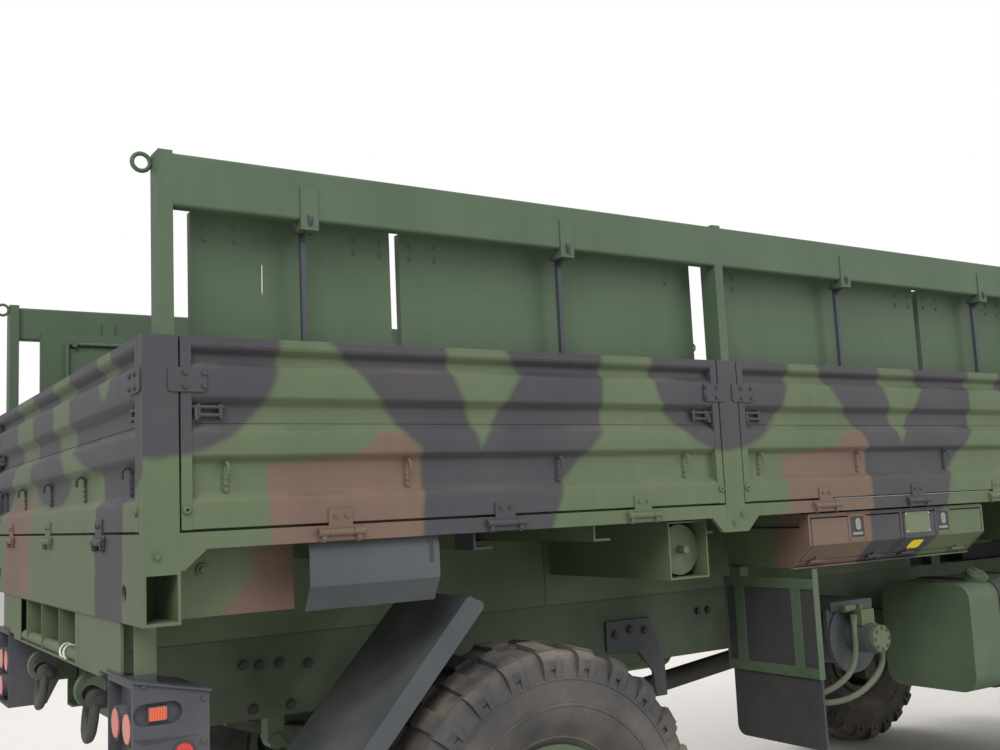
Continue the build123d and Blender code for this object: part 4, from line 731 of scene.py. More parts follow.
def painted_material(name, paint, camouflage=False, shade=1.0, dust=0.4, wear=0.3, colour="green",
                     dark_boxes=False, rods=False):
    """Matt military paint with dust, stains, chips and a fine grain."""
    material, nodes, shader, point, normal = start_material(name)
    weather = nodes.group(made_once(weather_group), Point=point, Normal=normal, Dust=dust, Wear=wear)
    base = tuple(getattr(paint, colour) if isinstance(colour, str) else colour)
    x, y, z = nodes.split(point)
    if camouflage:
        patches = nodes.group(made_once(camouflage_group, paint), Point=point, Normal=normal,
                              Edge=paint.spray_edge)
        base = nodes.mix(patches["Brown"], base, tuple(paint.brown))
        base = nodes.mix(patches["Dark"], base, tuple(paint.dark))
        base = nodes.mix(nodes.times(patches["Rim"], 0.35), base, (0.03, 0.033, 0.030, 1))
    if dark_boxes:
        boxes = nodes.times(nodes.over(nodes.size(y), 0.80), nodes.under(z, PANEL_BOTTOM - 0.375))
        base = nodes.mix(boxes, base, (0.052, 0.056, 0.068, 1))
    if rods:
        thin = nodes.times(nodes.under(nodes.size(y), 1.1745), nodes.under(z, RACK_TOP - 0.152))
        for stake in STAKES:
            thin = nodes.times(thin, nodes.over(nodes.size(nodes.minus(x, from_rear(stake))), 0.05))
        base = nodes.mix(thin, base, (0.040, 0.046, 0.055, 1))
    stained = nodes.vector("SCALE", base, scale=nodes.scaled(weather["Stain"], 0.28, shade))
    dusty = nodes.mix(weather["Dust Mask"], stained, tuple(paint.dust))
    chipped = nodes.mix(weather["Scratch"], dusty, tuple(paint.rust))
    nodes.feed(shader.inputs["Roughness"], nodes.scaled(weather["Dust Mask"], 0.2, 0.62))
    finish_shader(nodes, shader, chipped, weather["Height"], 0.0012, 0.55, Specular_IOR_Level=0.35)
    return material


def rubber_material(name, paint, shade=1.0, dust=0.5, scale=30.0):
    """Dusty rubber with fine grain."""
    material, nodes, shader, point, normal = start_material(name)
    weather = nodes.group(made_once(weather_group), Point=point, Normal=normal, Dust=dust, Wear=0.0)
    grain = nodes.noise(point, scale, 6.0, 0.7)
    base = nodes.vector("SCALE", tuple(paint.rubber)[:3], scale=nodes.scaled(grain, 0.9, 0.55 * shade))
    dusty = nodes.mix(weather["Dust Mask"], base, tuple(paint.dust))
    nodes.feed(shader.inputs["Roughness"], nodes.scaled(grain, 0.3, 0.6))
    finish_shader(nodes, shader, dusty, nodes.noise(point, scale * 7, 4.0, 0.6), 0.0015, 0.6)
    return material


def metal_material(name, paint, colour, metallic, roughness, rust=0.3):
    """Bare or zinc plated metal with smudges and spots of rust."""
    material, nodes, shader, point, _ = start_material(name)
    smudge = nodes.noise(point, 22.0, 5.0, 0.65)
    spot = nodes.step(nodes.noise(point, 60.0, 4.0, 0.7), 0.60, 0.68)
    base = nodes.vector("SCALE", colour, scale=nodes.scaled(smudge, 0.8, 0.6))
    rusty = nodes.mix(nodes.times(spot, rust), base, tuple(paint.rust))
    nodes.feed(shader.inputs["Roughness"], nodes.scaled(smudge, 0.35, roughness - 0.15))
    finish_shader(nodes, shader, rusty, nodes.noise(point, 180.0, 3.0, 0.6), 0.0006, 0.5, Metallic=metallic)
    return material


def glass_material(name, paint, tint, roughness=0.02):
    """Clear pane glass with a light film of dust."""
    material, nodes, shader, point, _ = start_material(name)
    film = nodes.noise(point, 6.0, 5.0, 0.6)
    nodes.feed(shader.inputs["Base Color"], nodes.mix(film, tint, tuple(c * 0.9 for c in tint[:3]) + (1,)))
    nodes.feed(shader.inputs["Roughness"], nodes.scaled(film, 0.08, roughness))
    shader.inputs["Transmission Weight"].default_value = 1.0
    shader.inputs["IOR"].default_value = 1.45
    return material


def lens_material(name, paint, colour, glow):
    """Moulded lamp lens with fine vertical prisms."""
    material, nodes, shader, point, _ = start_material(name)
    x, y, _ = nodes.split(point)
    wave = nodes.math("SINE", nodes.times(nodes.plus(x, y), 900.0))
    lit = nodes.vector("SCALE", colour, scale=nodes.scaled(wave, 0.18, 0.9))
    nodes.feed(shader.inputs["Emission Color"], lit)
    finish_shader(nodes, shader, lit, wave, 0.0008, 0.7, Roughness=0.18, Coat_Weight=0.5, Emission_Strength=glow)
    return material


def fabric_material(name, paint, colour):
    """Coarse woven seat cloth."""
    material, nodes, shader, point, _ = start_material(name)
    x, y, z = nodes.split(point)
    warp = nodes.math("SINE", nodes.times(nodes.plus(x, z), 1600.0))
    weft = nodes.math("SINE", nodes.times(nodes.minus(y, z), 1600.0))
    weave = nodes.times(warp, weft)
    cloud = nodes.noise(point, 8.0, 4.0, 0.6)
    cloth = nodes.vector("SCALE", colour, scale=nodes.scaled(weave, 0.12, nodes.scaled(cloud, 0.4, 0.75)))
    finish_shader(nodes, shader, cloth, weave, 0.0006, 0.8, Roughness=0.9, Sheen_Weight=0.2)
    return material


# Each finish: the slot of a new piece, the material's maker, its name and its values
FINISHES = {
    "camouflage": ("camouflage_paint", painted_material, "camouflage_paint",
                   {"camouflage": True, "dust": 0.35, "wear": 0.5}),
    "green": ("green_paint", painted_material, "green_paint", {"dust": 0.35, "wear": 0.35, "colour": "plain"}),
    "rack": ("green_paint", painted_material, "rack_paint",
             {"dust": 0.3, "wear": 0.4, "colour": "plain", "rods": True}),
    # Plain green darkened to 0.8 for the frame and running gear: painted shade under the truck
    "chassis": ("chassis_paint", painted_material, "chassis_paint",
                {"shade": 0.8, "dust": 0.8, "wear": 0.5, "colour": "plain"}),
    "cast": ("cast_metal", painted_material, "cast_metal",
             {"shade": 0.9, "dust": 0.45, "wear": 0.6, "colour": (0.040, 0.044, 0.042, 1)}),
    "tail": ("chassis_paint", painted_material, "tail_paint", {"dust": 0.45, "wear": 0.5, "dark_boxes": True}),
    "shade": ("chassis_paint", painted_material, "dark_paint", {"dust": 0.5, "wear": 0.6, "colour": "dark"}),
    "tyre": ("tyre", rubber_material, "tyre_rubber", {"shade": 1.2, "dust": 0.9}),
    "rubber": ("black_plastic", rubber_material, "flap_rubber", {"shade": 0.9, "dust": 0.15}),
    "plastic": ("black_plastic", rubber_material, "black_plastic", {"shade": 0.9, "dust": 0.2, "scale": 60.0}),
    "steel": ("cast_metal", metal_material, "worn_steel",
              {"colour": (0.22, 0.23, 0.22), "metallic": 0.8, "roughness": 0.5, "rust": 0.5}),
    "wire": ("cast_metal", metal_material, "galvanised_wire",
             {"colour": (0.62, 0.62, 0.58), "metallic": 0.9, "roughness": 0.4, "rust": 0.2}),
    "tie": ("black_plastic", metal_material, "white_tie",
            {"colour": (0.62, 0.62, 0.58), "metallic": 0.0, "roughness": 0.5, "rust": 0.0}),
    "mirror": ("glass", metal_material, "mirror_glass",
               {"colour": (0.8, 0.82, 0.84), "metallic": 1.0, "roughness": 0.15, "rust": 0.0}),
    "glass": ("glass", glass_material, "window_glass", {"tint": (0.78, 0.84, 0.82, 1)}),
    "amber": ("glass", lens_material, "amber_lens", {"colour": (0.55, 0.085, 0.03), "glow": 0.15}),
    "red": ("glass", lens_material, "red_lens", {"colour": (0.50, 0.022, 0.015), "glow": 0.15}),
    "clear": ("glass", lens_material, "clear_lens", {"colour": (0.75, 0.73, 0.66), "glow": 0.1}),
    "fabric": ("seat_fabric", fabric_material, "seat_cloth", {"colour": (0.075, 0.085, 0.06)}),
    # Dark bluish paint of the mudguards, splash panels and spring brackets; on the winch it is painted shade
    "slate": ("chassis_paint", painted_material, "slate_paint",
              {"dust": 0.35, "wear": 0.4, "colour": (0.052, 0.062, 0.068, 1)}),
    "hose": ("black_plastic", painted_material, "hose_cover",
             {"dust": 0.5, "wear": 0.0, "colour": (0.10, 0.125, 0.085, 1)}),
    "pale": ("chassis_paint", painted_material, "pale_green_paint", {"dust": 0.5, "wear": 0.3}),
    "label": ("camouflage_paint", painted_material, "yellow_label",
              {"dust": 0.3, "wear": 0.2, "colour": (0.75, 0.58, 0.02, 1)}),
    "data_plate": ("camouflage_paint", painted_material, "data_plate",
                   {"dust": 0.2, "wear": 0.1, "colour": (0.115, 0.145, 0.085, 1)}),
}
MATERIALS = {}

# The frame's nodes by their finish, of which the first part of a name is enough; the rest is camouflage
NODE_FINISHES = {
    "chassis": ("frame_rails", "frame_crossmembers", "rear_axle", "front_axle", "knuckle", "mudguards"),
    "green": ("fuel_tank", "left_boxes", "bed_floor", "stack", "seat_", "rim"),
    # The winch wears the dark bluish paint as painted shade
    "slate": ("winch",),
    "cast": ("drivetrain",),
    "rack": ("racks",),
    "tail": ("tail_boxes",),
    "glass": ("cab_glass", "door_glass"),
    "fabric": ("cab_seats",),
    "plastic": ("dashboard", "steering_wheel"),
    "tyre": ("tyre",),
}


def finish_of(node):
    """The finish of a node of the frame."""
    for finish, starts in NODE_FINISHES.items():
        if node.startswith(starts):
            return finish
    return "camouflage"


class TRUCK_OT_paint_frame(bpy.types.Operator):
    """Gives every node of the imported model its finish"""

    bl_idname = "truck.paint_frame"
    bl_label = "Paint the Frame"

    def execute(self, context):
        paint = context.scene.truck_paint
        for finish, (_, maker, name, values) in FINISHES.items():
            MATERIALS[finish] = maker(name, paint, **values)
        for name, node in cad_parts.items():
            node.data.materials.clear()
            node.data.materials.append(MATERIALS[finish_of(name)])
        return {"FINISHED"}


# Side panels and tailgate

# Bands that lie back from the face: low edge, high edge, slope
RECESS_BANDS = ((0.075, 0.194, 0.019), (0.257, 0.351, 0.022), (0.433, 0.485, 0.016))
FLAT = 0.0015  # how far the skin lies behind the end frames
END_FRAME = 0.030
LEAF_HALF = 0.037
# Tarpaulin hooks: along the sides from the rear, and across the tailgate
SIDE_HOOKS = (0.225, 0.777, 1.331, 1.878, 2.248, 2.796, 3.354, 3.905)
REAR_HOOKS = (-1.020, -0.459, 0.070, 0.585, 1.020)
# Line of a hook as (up, out): a stem, a round head and a tip that hangs outwards
HOOK_LINE = [(-0.022, 0.0045)] + [(0.024 + up, 0.0170 + out) for out, up in arc((0.0, 0.0), 0.0125, 180, 0, 8)]
HOOK_LINE += [(0.006, 0.0295)]


class Panel:
    """A side panel or the tailgate, with places from its own end, its face and its foot."""

    def __init__(self, body, side, hinges, hooks, hook_paint):
        low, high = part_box(body)
        self.body = body
        self.side = side
        self.start, self.length = (low.x - BED_REAR, high.x - low.x) if side else (low.y, high.y - low.y)
        self.hinges = [at - self.start for at in hinges]
        self.hooks = [at - self.start for at in hooks if 0 < at - self.start < self.length]
        self.hook_paint = hook_paint

    def plane(self, along, up, out):
        """A plane on the panel: its Y is up and its Z points outwards."""
        if self.side:
            return side_plane(self.start + along, PANEL_BOTTOM + up, self.side, HALF_WIDTH + out)
        return rear_plane(self.start + along, PANEL_BOTTOM + up, out)

    def point(self, along, up, out):
        """A place on the panel."""
        return self.plane(along, up, out).translation


def panels():
    """The four side panels and the tailgate."""
    rows = [Panel(f"dropside_{label}_{section}", side, hinges, SIDE_HOOKS, "camouflage")
            for label, side in SIDES
            for section, hinges in (("rear", SIDE_HINGES[:3]), ("front", SIDE_HINGES[3:]))]
    return rows + [Panel("tailgate", 0, REAR_HINGES, REAR_HOOKS, "plastic")]


def panel_profile():
    """Outer line of a panel's section: (how far in, height), with its corners rounded."""
    corners = [(FLAT, 0.001)]
    for low, high, slope in RECESS_BANDS:
        corners += [(FLAT, low), (PANEL_RECESS, low + slope), (PANEL_RECESS, high - slope), (FLAT, high)]
    corners.append((FLAT, PANEL_HEIGHT - 0.001))
    return round_corners(corners, 0.007, 3)


def build_panel(panel):
    """A ribbed panel with its end frames, top lip, hem, hinge leaves and knuckles."""
    length, inset, back = panel.length, END_FRAME / 2, PANEL_THICK - FLAT
    end_frame = oblong(0.0, PANEL_THICK, 0.0, PANEL_HEIGHT)
    sections = [
        (panel_profile() + [(back, PANEL_HEIGHT - 0.001), (back, 0.001)], inset, length - inset),
        (end_frame, 0.0, END_FRAME),
        (end_frame, length - END_FRAME, length),
        (oblong(0.0006, PANEL_THICK - 0.0006, 0.490, PANEL_HEIGHT - 0.0005), inset, length - inset),
        (oblong(PANEL_RECESS - 0.003, PANEL_RECESS + 0.004, 0.281, 0.285), END_FRAME, length - END_FRAME),
    ]
    sections += [(oblong(-0.004, 0.002, -0.016, 0.040), at - LEAF_HALF, at + LEAF_HALF) for at in panel.hinges]
    shape = Shape()
    for outline, start, end in sections:
        shape.shell([[panel.point(along, up, -inwards) for inwards, up in outline] for along in (start, end)])
    for at in panel.hinges:
        shape.bar([panel.point(end, -HINGE_DROP, HINGE_OUT) for end in (at - LEAF_HALF, at + LEAF_HALF)], 0.011, 16)
    shape.finish(panel.body + "_skin", panel.body, "camouflage", edge=0.0018, smooth=35, replaces=(panel.body,))


def dress_panel(panel):
    """Hooks, latches, slide bolts and eyelets of one panel."""
    body, place_on, point_on = panel.body, panel.plane, panel.point
    wire_radius = bpy.context.scene.truck_fitting.hook_wire
    shape, hooks, bolts = Shape(), Shape(), []
    for at in panel.hooks:
        plane = place_on(at, 0.138, -PANEL_RECESS)
        hooks.bar([plane @ Vector((0.0, up, out)) for up, out in HOOK_LINE], wire_radius, 8)
        hooks.plate(rounded(0.017, 0.064, 0.005, 3, (0.0, -0.014)), plane, 0.0035)
        bolts += [place_on(at, up, -PANEL_RECESS + 0.0035) for up in (0.103, 0.120, 0.137)]
    for at in panel.hinges:
        bolts += [place_on(at + step, 0.020, 0.0033) for step in (-0.017, 0.017)]
    for at, direction in ((0.0, 1), (panel.length, -1)):
        # Strap plate over the joint with the post, with four bolts
        centre = at + direction * 0.018
        shape.plate(rounded(0.104, 0.066, 0.010, 3), place_on(centre, 0.396, 0.0), 0.005)
        bolts += [place_on(centre + direction * across, 0.396 + up, 0.005)
                  for across in (-0.008, 0.044) for up in (-0.018, 0.018)]
        # Slide bolt in the middle recess, with its guides and its grip
        inner = at + direction * 0.078
        for up, start, end in ((0.325, -0.050, 0.046), (0.303, -0.030, 0.034)):
            rod = [point_on(inner + direction * step, up, -PANEL_RECESS + 0.012) for step in (start, end)]
            shape.bar(rod, 0.0055, 8)
        for step in (-0.026, 0.034):
            guide = place_on(inner + direction * step, 0.314, -PANEL_RECESS)
            shape.plate(rounded(0.010, 0.040, 0.003, 2), guide, 0.016)
        grip = [point_on(inner - direction * 0.034, 0.322 - drop, -PANEL_RECESS + 0.014 + drop * 0.2)
                for drop in (0.0, 0.034)]
        shape.bar(grip, 0.006, 8)
        eyelet = [(0.004, 0.0), (0.012, 0.0), (0.012, 0.005), (0.009, 0.008), (0.004, 0.008)]
        shape.turned(eyelet, place_on(at + direction * 0.014, 0.052, 0.0), 16)
    shape.finish(body + "_fittings", body, "camouflage", edge=0.001)
    hooks.finish(body + "_hooks", body, panel.hook_paint, slot="camouflage_paint")
    add_fasteners(body + "_bolts", body, bolts, "camouflage", radius=0.0065, height=0.004, washer=0.0085)


class TRUCK_OT_side_panels(bpy.types.Operator):
    """Builds the ribbed side panels and the tailgate with their hinges"""

    bl_idname = "truck.side_panels"
    bl_label = "Side Panels"

    def execute(self, context):
        for panel in panels():
            build_panel(panel)
        return {"FINISHED"}


class TRUCK_OT_panel_fittings(bpy.types.Operator):
    """Adds hooks, latches, slide bolts, eyelets and bolts to the panels"""

    bl_idname = "truck.panel_fittings"
    bl_label = "Panel Fittings"

    def execute(self, context):
        for panel in panels():
            dress_panel(panel)
        return {"FINISHED"}


# Rack

ROD_PLACES = (0.477, 1.397, 2.788, 3.708)
SEAT_BOARDS = ((0.165, 0.790), (0.823, 2.045), (2.140, 3.362), (3.395, 4.020))
BOARD_FACE = 1.107
# Line of a rod's clamp, as (up, out)
CLAMP = ((0.012, -0.010), (0.016, 0.003), (0.010, 0.009), (-0.004, 0.008), (-0.016, -0.004), (-0.030, -0.030),
         (-0.048, -0.053))
BRIGHT_LINE = ((0.3725, 2.349), (0.3745, 2.351), (0.3735, 2.262), (0.3715, 2.270))


class TRUCK_OT_rack_fittings(bpy.types.Operator):
    """Adds brackets, rods and bolts to the racks and seat boards"""

    bl_idname = "truck.rack_fittings"
    bl_label = "Rack Fittings"

    def execute(self, context):
        brackets, rods = Shape(), Shape()
        for _, side in SIDES:
            for place in ROD_PLACES:
                brackets.plate(rounded(0.055, 0.120, 0.004, 2), side_plane(place, RACK_TOP - 0.108, side), 0.0048)
                clamp = side_plane(place, RACK_TOP - 0.150, side)
                rods.bar([clamp @ Vector((0.0, up, out)) for up, out in CLAMP], 0.007, 8)
        # Long thin bright line in the wire finish on the first board
        mark = Shape().side_prism(-1, BRIGHT_LINE, (BOARD_FACE, BOARD_FACE + 0.0006))
        mark.finish("seat_right_scratch", "seat_right", "wire", slot="green_paint")
        brackets.finish("rack_brackets", "chassis", "green", edge=0.0012)
        rods.finish("rack_rods", "chassis", "shade")
        seat_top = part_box("seat_right")[1].z
        for label, side in SIDES:
            bolts = [side_plane(at, seat_top - up, side, BOARD_FACE)
                     for start, end in SEAT_BOARDS
                     for at in (start + 0.040, start + 0.130, end - 0.120, end - 0.032)
                     for up in (0.034, 0.076)]
            add_fasteners(f"seat_{label}_bolts", f"seat_{label}", bolts, "green", radius=0.0055, height=0.0025,
                          washer=0.009)
        return {"FINISHED"}


# Fittings of the body's frame and what hangs under it

# Bolts on the gussets under the posts: distance from the rear, height
GUSSET_BOLTS = ((0.035, 1.537), (2.082, 1.529), (2.123, 1.558), (4.150, 1.537))


class TRUCK_OT_body_fittings(bpy.types.Operator):
    """Adds hinge plates, gusset bolts and the long rod under the side rail"""

    bl_idname = "truck.body_fittings"
    bl_label = "Body Fittings"

    def execute(self, context):
        fit = context.scene.truck_fitting
        plates, strips, rods, bolts = Shape(), Shape(), Shape(), []
        for _, side in SIDES:
            strips.side_box(side, (0.085, 4.100), (1.200, 1.2180), (1.5488, 1.5938))
            rods.bar([(from_rear(x), side * 1.2165, 1.5962) for x in (2.62, 3.62)], 0.0022, 8)
            for place in SIDE_HINGES:
                plane = side_plane(place, 1.5715, side, HALF_WIDTH - 0.001)
                plates.plate(rounded(0.140, 0.041, 0.003, 2), plane, 0.004)
                bolts += [plane @ Matrix.Translation((across, -0.012, 0.004)) for across in (-0.054, 0.054)]
            bolts += [side_plane(place, height, side) for place, height in GUSSET_BOLTS]
        for y in REAR_HINGES:
            plane = rear_plane(y, 1.5720)
            for across in (-0.054, 0.054):
                plates.plate(rounded(0.032, 0.044, 0.003, 2, (across, 0.0)), plane, 0.004)
                bolts.append(plane @ Matrix.Translation((across, -0.014, 0.004)))
        strips.finish("body_side_strips", "chassis", "camouflage", edge=0.0015)
        plates.finish("body_hinge_plates", "chassis", "camouflage", edge=0.001)
        add_fasteners("body_bolts", "chassis", bolts, "camouflage", radius=fit.bolt_radius, height=fit.bolt_height,
                      washer=0.013)
        rods.finish("body_rods", "chassis", "steel")
        return {"FINISHED"}


# Splash panel's section as (distance from the middle, height), and where it starts and ends
SPLASH_SKIN = ((1.187, 1.548), (1.198, 1.520), (1.198, 1.425), (1.156, 1.357))
SPLASH = (0.462, 0.878)
SHEET = 0.004
# Mudguard and its turned edge, as (distance from the rear, height)
GUARD = ((1.066, 1.336), (1.036, 1.350), (0.540, 0.822), (0.560, 0.804))
GUARD_EDGE = ((1.052, 1.340), (1.038, 1.350), (1.022, 1.346), (0.540, 0.822), (0.588, 0.779), (1.080, 1.308),
              (1.082, 1.324), (1.072, 1.334))
SPRAY_FRAME = 2.468
# Uprights of a spray frame, as (inner, outer) distances from the middle
SPRAY_POSTS = ((0.742, 0.752), (0.798, 0.850), (1.096, 1.142), (1.208, 1.213))
FLAP = ((0.760, 0.955), *arc((0.800, 0.712), 0.040, 180, 270, 6), *arc((1.194, 0.690), 0.018, 270, 360, 4),
        (1.212, 0.955))


class TRUCK_OT_mudguards(bpy.types.Operator):
    """Builds the mudguards, splash panels, skirts and spray frames with their flaps"""

    bl_idname = "truck.mudguards"
    bl_label = "Mudguards"

    def execute(self, context):
        frames, sheets, rubber, skirts, bolts = Shape(), Shape(), Shape(), Shape(), []
        x = SPRAY_FRAME
        for _, side in SIDES:
            sheets.side_prism(side, GUARD, (0.650, 1.096))
            sheets.side_prism(side, GUARD_EDGE, (1.094, 1.106))
            frames.side_box(side, (1.040, 1.100), (0.640, 0.700), (1.330, 1.494))
            inner = [(y - SHEET, z + 0.002) for y, z in reversed(SPLASH_SKIN[1:])]
            inner.append((SPLASH_SKIN[0][0] - SHEET, SPLASH_SKIN[0][1]))
            sheets.cross_prism(side, (*SPLASH_SKIN, *inner), SPLASH)
            rubber.side_box(side, (0.842, 0.858), (1.196, 1.1988), (1.470, 1.532))
            # Skirt with its lower flange and a round fitting
            for y, z in (((1.056, 1.060), (1.363, 1.554)), ((1.034, 1.0605), (1.360, 1.364))):
                skirts.side_box(side, (0.096, SPLASH[0] + 0.008), y, z)
            fitting = side_plane(0.203, 1.488, side, 1.060)
            skirts.drum(fitting, 0.019, 0.0, 0.006, 20, 0.001)
            skirts.drum(fitting, 0.010, 0.005, 0.015, 16, 0.001)
            # Spray frame with a thin outer flange and its hanger, its dark mesh and its flap
            for z in ((0.932, 0.971), (1.261, 1.300)):
                frames.side_box(side, (x, x + 0.010), (0.742, 1.2125), z)
            for y in SPRAY_POSTS:
                frames.side_box(side, (x + 0.0006, x + 0.0094), y, (0.960, 1.270))
            frames.side_box(side, (x + 0.0008, x + 0.030), (1.2105, 1.2135), (0.930, 1.338))
            hanger_top = 1.338 if side < 0 else 1.494
            frames.side_box(side, (x - 0.0006, x + 0.045), (0.780, 0.840), (1.290, hanger_top))
            rubber.side_box(side, (x + 0.005, x + 0.009), (0.746, 1.211), (0.940, 1.290))
            rubber.cross_prism(side, FLAP, (x + 0.009, x + 0.021))
            bolts += [rear_plane(side * y, 0.950, -x) for y in (0.79, 0.92, 1.05, 1.17)]
        frames.finish("spray_frames", "chassis", "green", edge=0.0015, replaces=("mudguards",))
        sheets.finish("mudguard_sheets", "chassis", "slate", slot="green_paint", edge=0.0012)
        skirts.finish("body_skirts", "chassis", "camouflage", edge=0.0008)
        rubber.finish("spray_flaps", "chassis", "rubber", edge=0.0015)
        add_fasteners("spray_frame_bolts", "chassis", bolts, "green", radius=0.007, height=0.005, washer=0.010)
        return {"FINISHED"}


# Rear lamps: distance from the middle, height, lens
TAIL_LAMPS = ((1.025, 1.085, "amber"), (0.905, 1.085, "red"), (1.025, 0.975, "red"))
TAIL_SIDE = 1.1002
# Dark wedge between the upper and the lower half of a lamp box, as (distance from the rear, height)
WEDGE = ((0.006, 1.066), (0.178, 1.058), (0.030, 1.049))
# Half the bow of a shackle, as (across, up) from its pin
BOW = ((-0.040, 0.0), (-0.046, -0.030), (-0.048, -0.065), (-0.040, -0.098), (-0.020, -0.118))
LAMP_RIM = ((0.0405, 0.0), (0.0470, 0.0), (0.0470, 0.0025), (0.0425, 0.0045), (0.0405, 0.0045))
REFLECTOR_RIM = ((0.0255, 0.0), (0.031, 0.0), (0.031, 0.003), (0.0255, 0.005))


class TRUCK_OT_tail(bpy.types.Operator):
    """Adds lamp lenses, reflectors, shackles, channel covers and ties at the rear end"""

    bl_idname = "truck.tail"
    bl_label = "Tail"

    def execute(self, context):
        lenses = {"amber": Shape(), "red": Shape()}
        trim, forged, ties, covers, bolts = Shape(), Shape(), Shape(), Shape(), []
        for _, side in SIDES:
            for y, z, lens in TAIL_LAMPS:
                plane = rear_plane(side * y, z, -0.0100)
                lenses[lens].drum(plane, 0.041, -0.001, 0.0055, 32, 0.003)
                trim.turned(LAMP_RIM, plane, 32)
            lenses["amber"].plate(rounded(0.047, 0.034, 0.005, 3), side_plane(0.068, 1.126, side, 1.0965), 0.0025)
            # The reflector takes the red lens material, whose glow is painted light here, as a reflector is no lamp
            reflector = side_plane(0.135, 1.018, side, TAIL_SIDE)
            lenses["red"].drum(reflector, 0.026, 0.0, 0.005, 28, 0.002)
            trim.turned(REFLECTOR_RIM, reflector, 28)
            trim.side_prism(side, WEDGE, (1.0990, 1.1006))
            bolts += [side_plane(x, z, side, TAIL_SIDE) for x, z in ((0.030, 1.200), (0.188, 1.150), (0.188, 1.040))]
            # Shackle that hangs in the tow eye
            centre = Vector((from_rear(0.062), side * 0.400, 1.086))
            bow = [*BOW, (0.0, -0.124), *((-across, up) for across, up in reversed(BOW))]
            forged.bar([centre + Vector((-0.004 + up * 0.12, across, up)) for across, up in bow], 0.0155, 12)
            forged.bar([centre + Vector((0.0, across, 0.0)) for across in (-0.066, 0.066)], 0.0150, 14)
            for ear in (-0.041, 0.041):
                forged.drum(plane_at(centre + Vector((0, ear, 0)), (1, 0, 0), (0, 1, 0)), 0.033, -0.013, 0.013, 20,
                            0.003)
        # Plates that close the outer bays of the channel, the tube in its middle bay and the ties on it
        for low, high in ((-0.717, -0.395), (0.575, 0.717)):
            covers.box((from_rear(0.0065), from_rear(0.0105)), (low, high), (1.193, 1.357))
        covers.drum(plane_at((from_rear(0.028), -0.395, 1.214), (1, 0, 0), (0, 1, 0)), 0.020, 0.0, 0.960, 16)
        for y in (-0.232, -0.176):
            ring = [(from_rear(0.028 + 0.0245 * math.cos(turn)), y + 0.012 * math.cos(turn - 0.9),
                     1.213 + 0.0245 * math.sin(turn)) for turn in turns(20)]
            ties.bar(ring, 0.0038, 8, closed=True)
        covers.finish("channel_covers", "chassis", "tail", edge=0.001)
        for lens, shape in lenses.items():
            shape.finish(f"tail_lenses_{lens}", "chassis", lens)
        trim.finish("tail_trim", "chassis", "plastic", smooth=45)
        forged.finish("tow_shackles", "chassis", "cast", smooth=50)
        ties.finish("cable_ties", "chassis", "tie")
        add_fasteners("tail_bolts", "chassis", bolts, "tail", radius=0.006, height=0.004, washer=0.009)
        return {"FINISHED"}


# Bolt heads on the chassis rails and the curved spring bracket, as (distance from the rear, height)
RAIL_BOLTS = ((0.536, 1.135), (0.592, 1.128), (0.664, 1.128), (0.771, 1.115), (0.704, 0.985), (0.570, 0.985),
              (2.110, 1.070), (2.200, 1.085), (2.290, 1.075), (2.600, 1.130), (2.660, 1.130), (3.300, 1.130),
              (3.360, 1.130), (4.200, 1.130), (4.260, 1.130))
BRACKET = ((2.080, 1.130), (2.310, 1.130), (2.345, 1.060), (2.385, 0.930), (2.390, 0.800), (2.330, 0.800),
           (2.318, 0.905), (2.250, 0.990), (2.080, 1.010))
BRACKET_BOLTS = ((2.120, 1.075), (2.200, 1.090), (2.280, 1.080))
BRACKET_Y = 0.444
# The winch's middle, and its hoses from it: (along, across, height)
WINCH = 3.050
HOSES = (
    ((-0.060, -0.955, 1.095), (-0.070, -0.962, 1.040), (-0.068, -0.958, 0.960), (-0.085, -0.940, 0.880),
     (-0.140, -0.900, 0.820), (-0.200, -0.840, 0.790), (-0.240, -0.700, 0.800)),
    ((0.045, -0.985, 0.990), (0.058, -0.990, 0.930), (0.040, -0.975, 0.860), (-0.030, -0.940, 0.790),
     (-0.120, -0.890, 0.755), (-0.200, -0.800, 0.752), (-0.240, -0.680, 0.770)),
)
# The tank's section: across and up
TANK_SECTION = ((-1.1500, -0.7000), (0.740, 1.200))


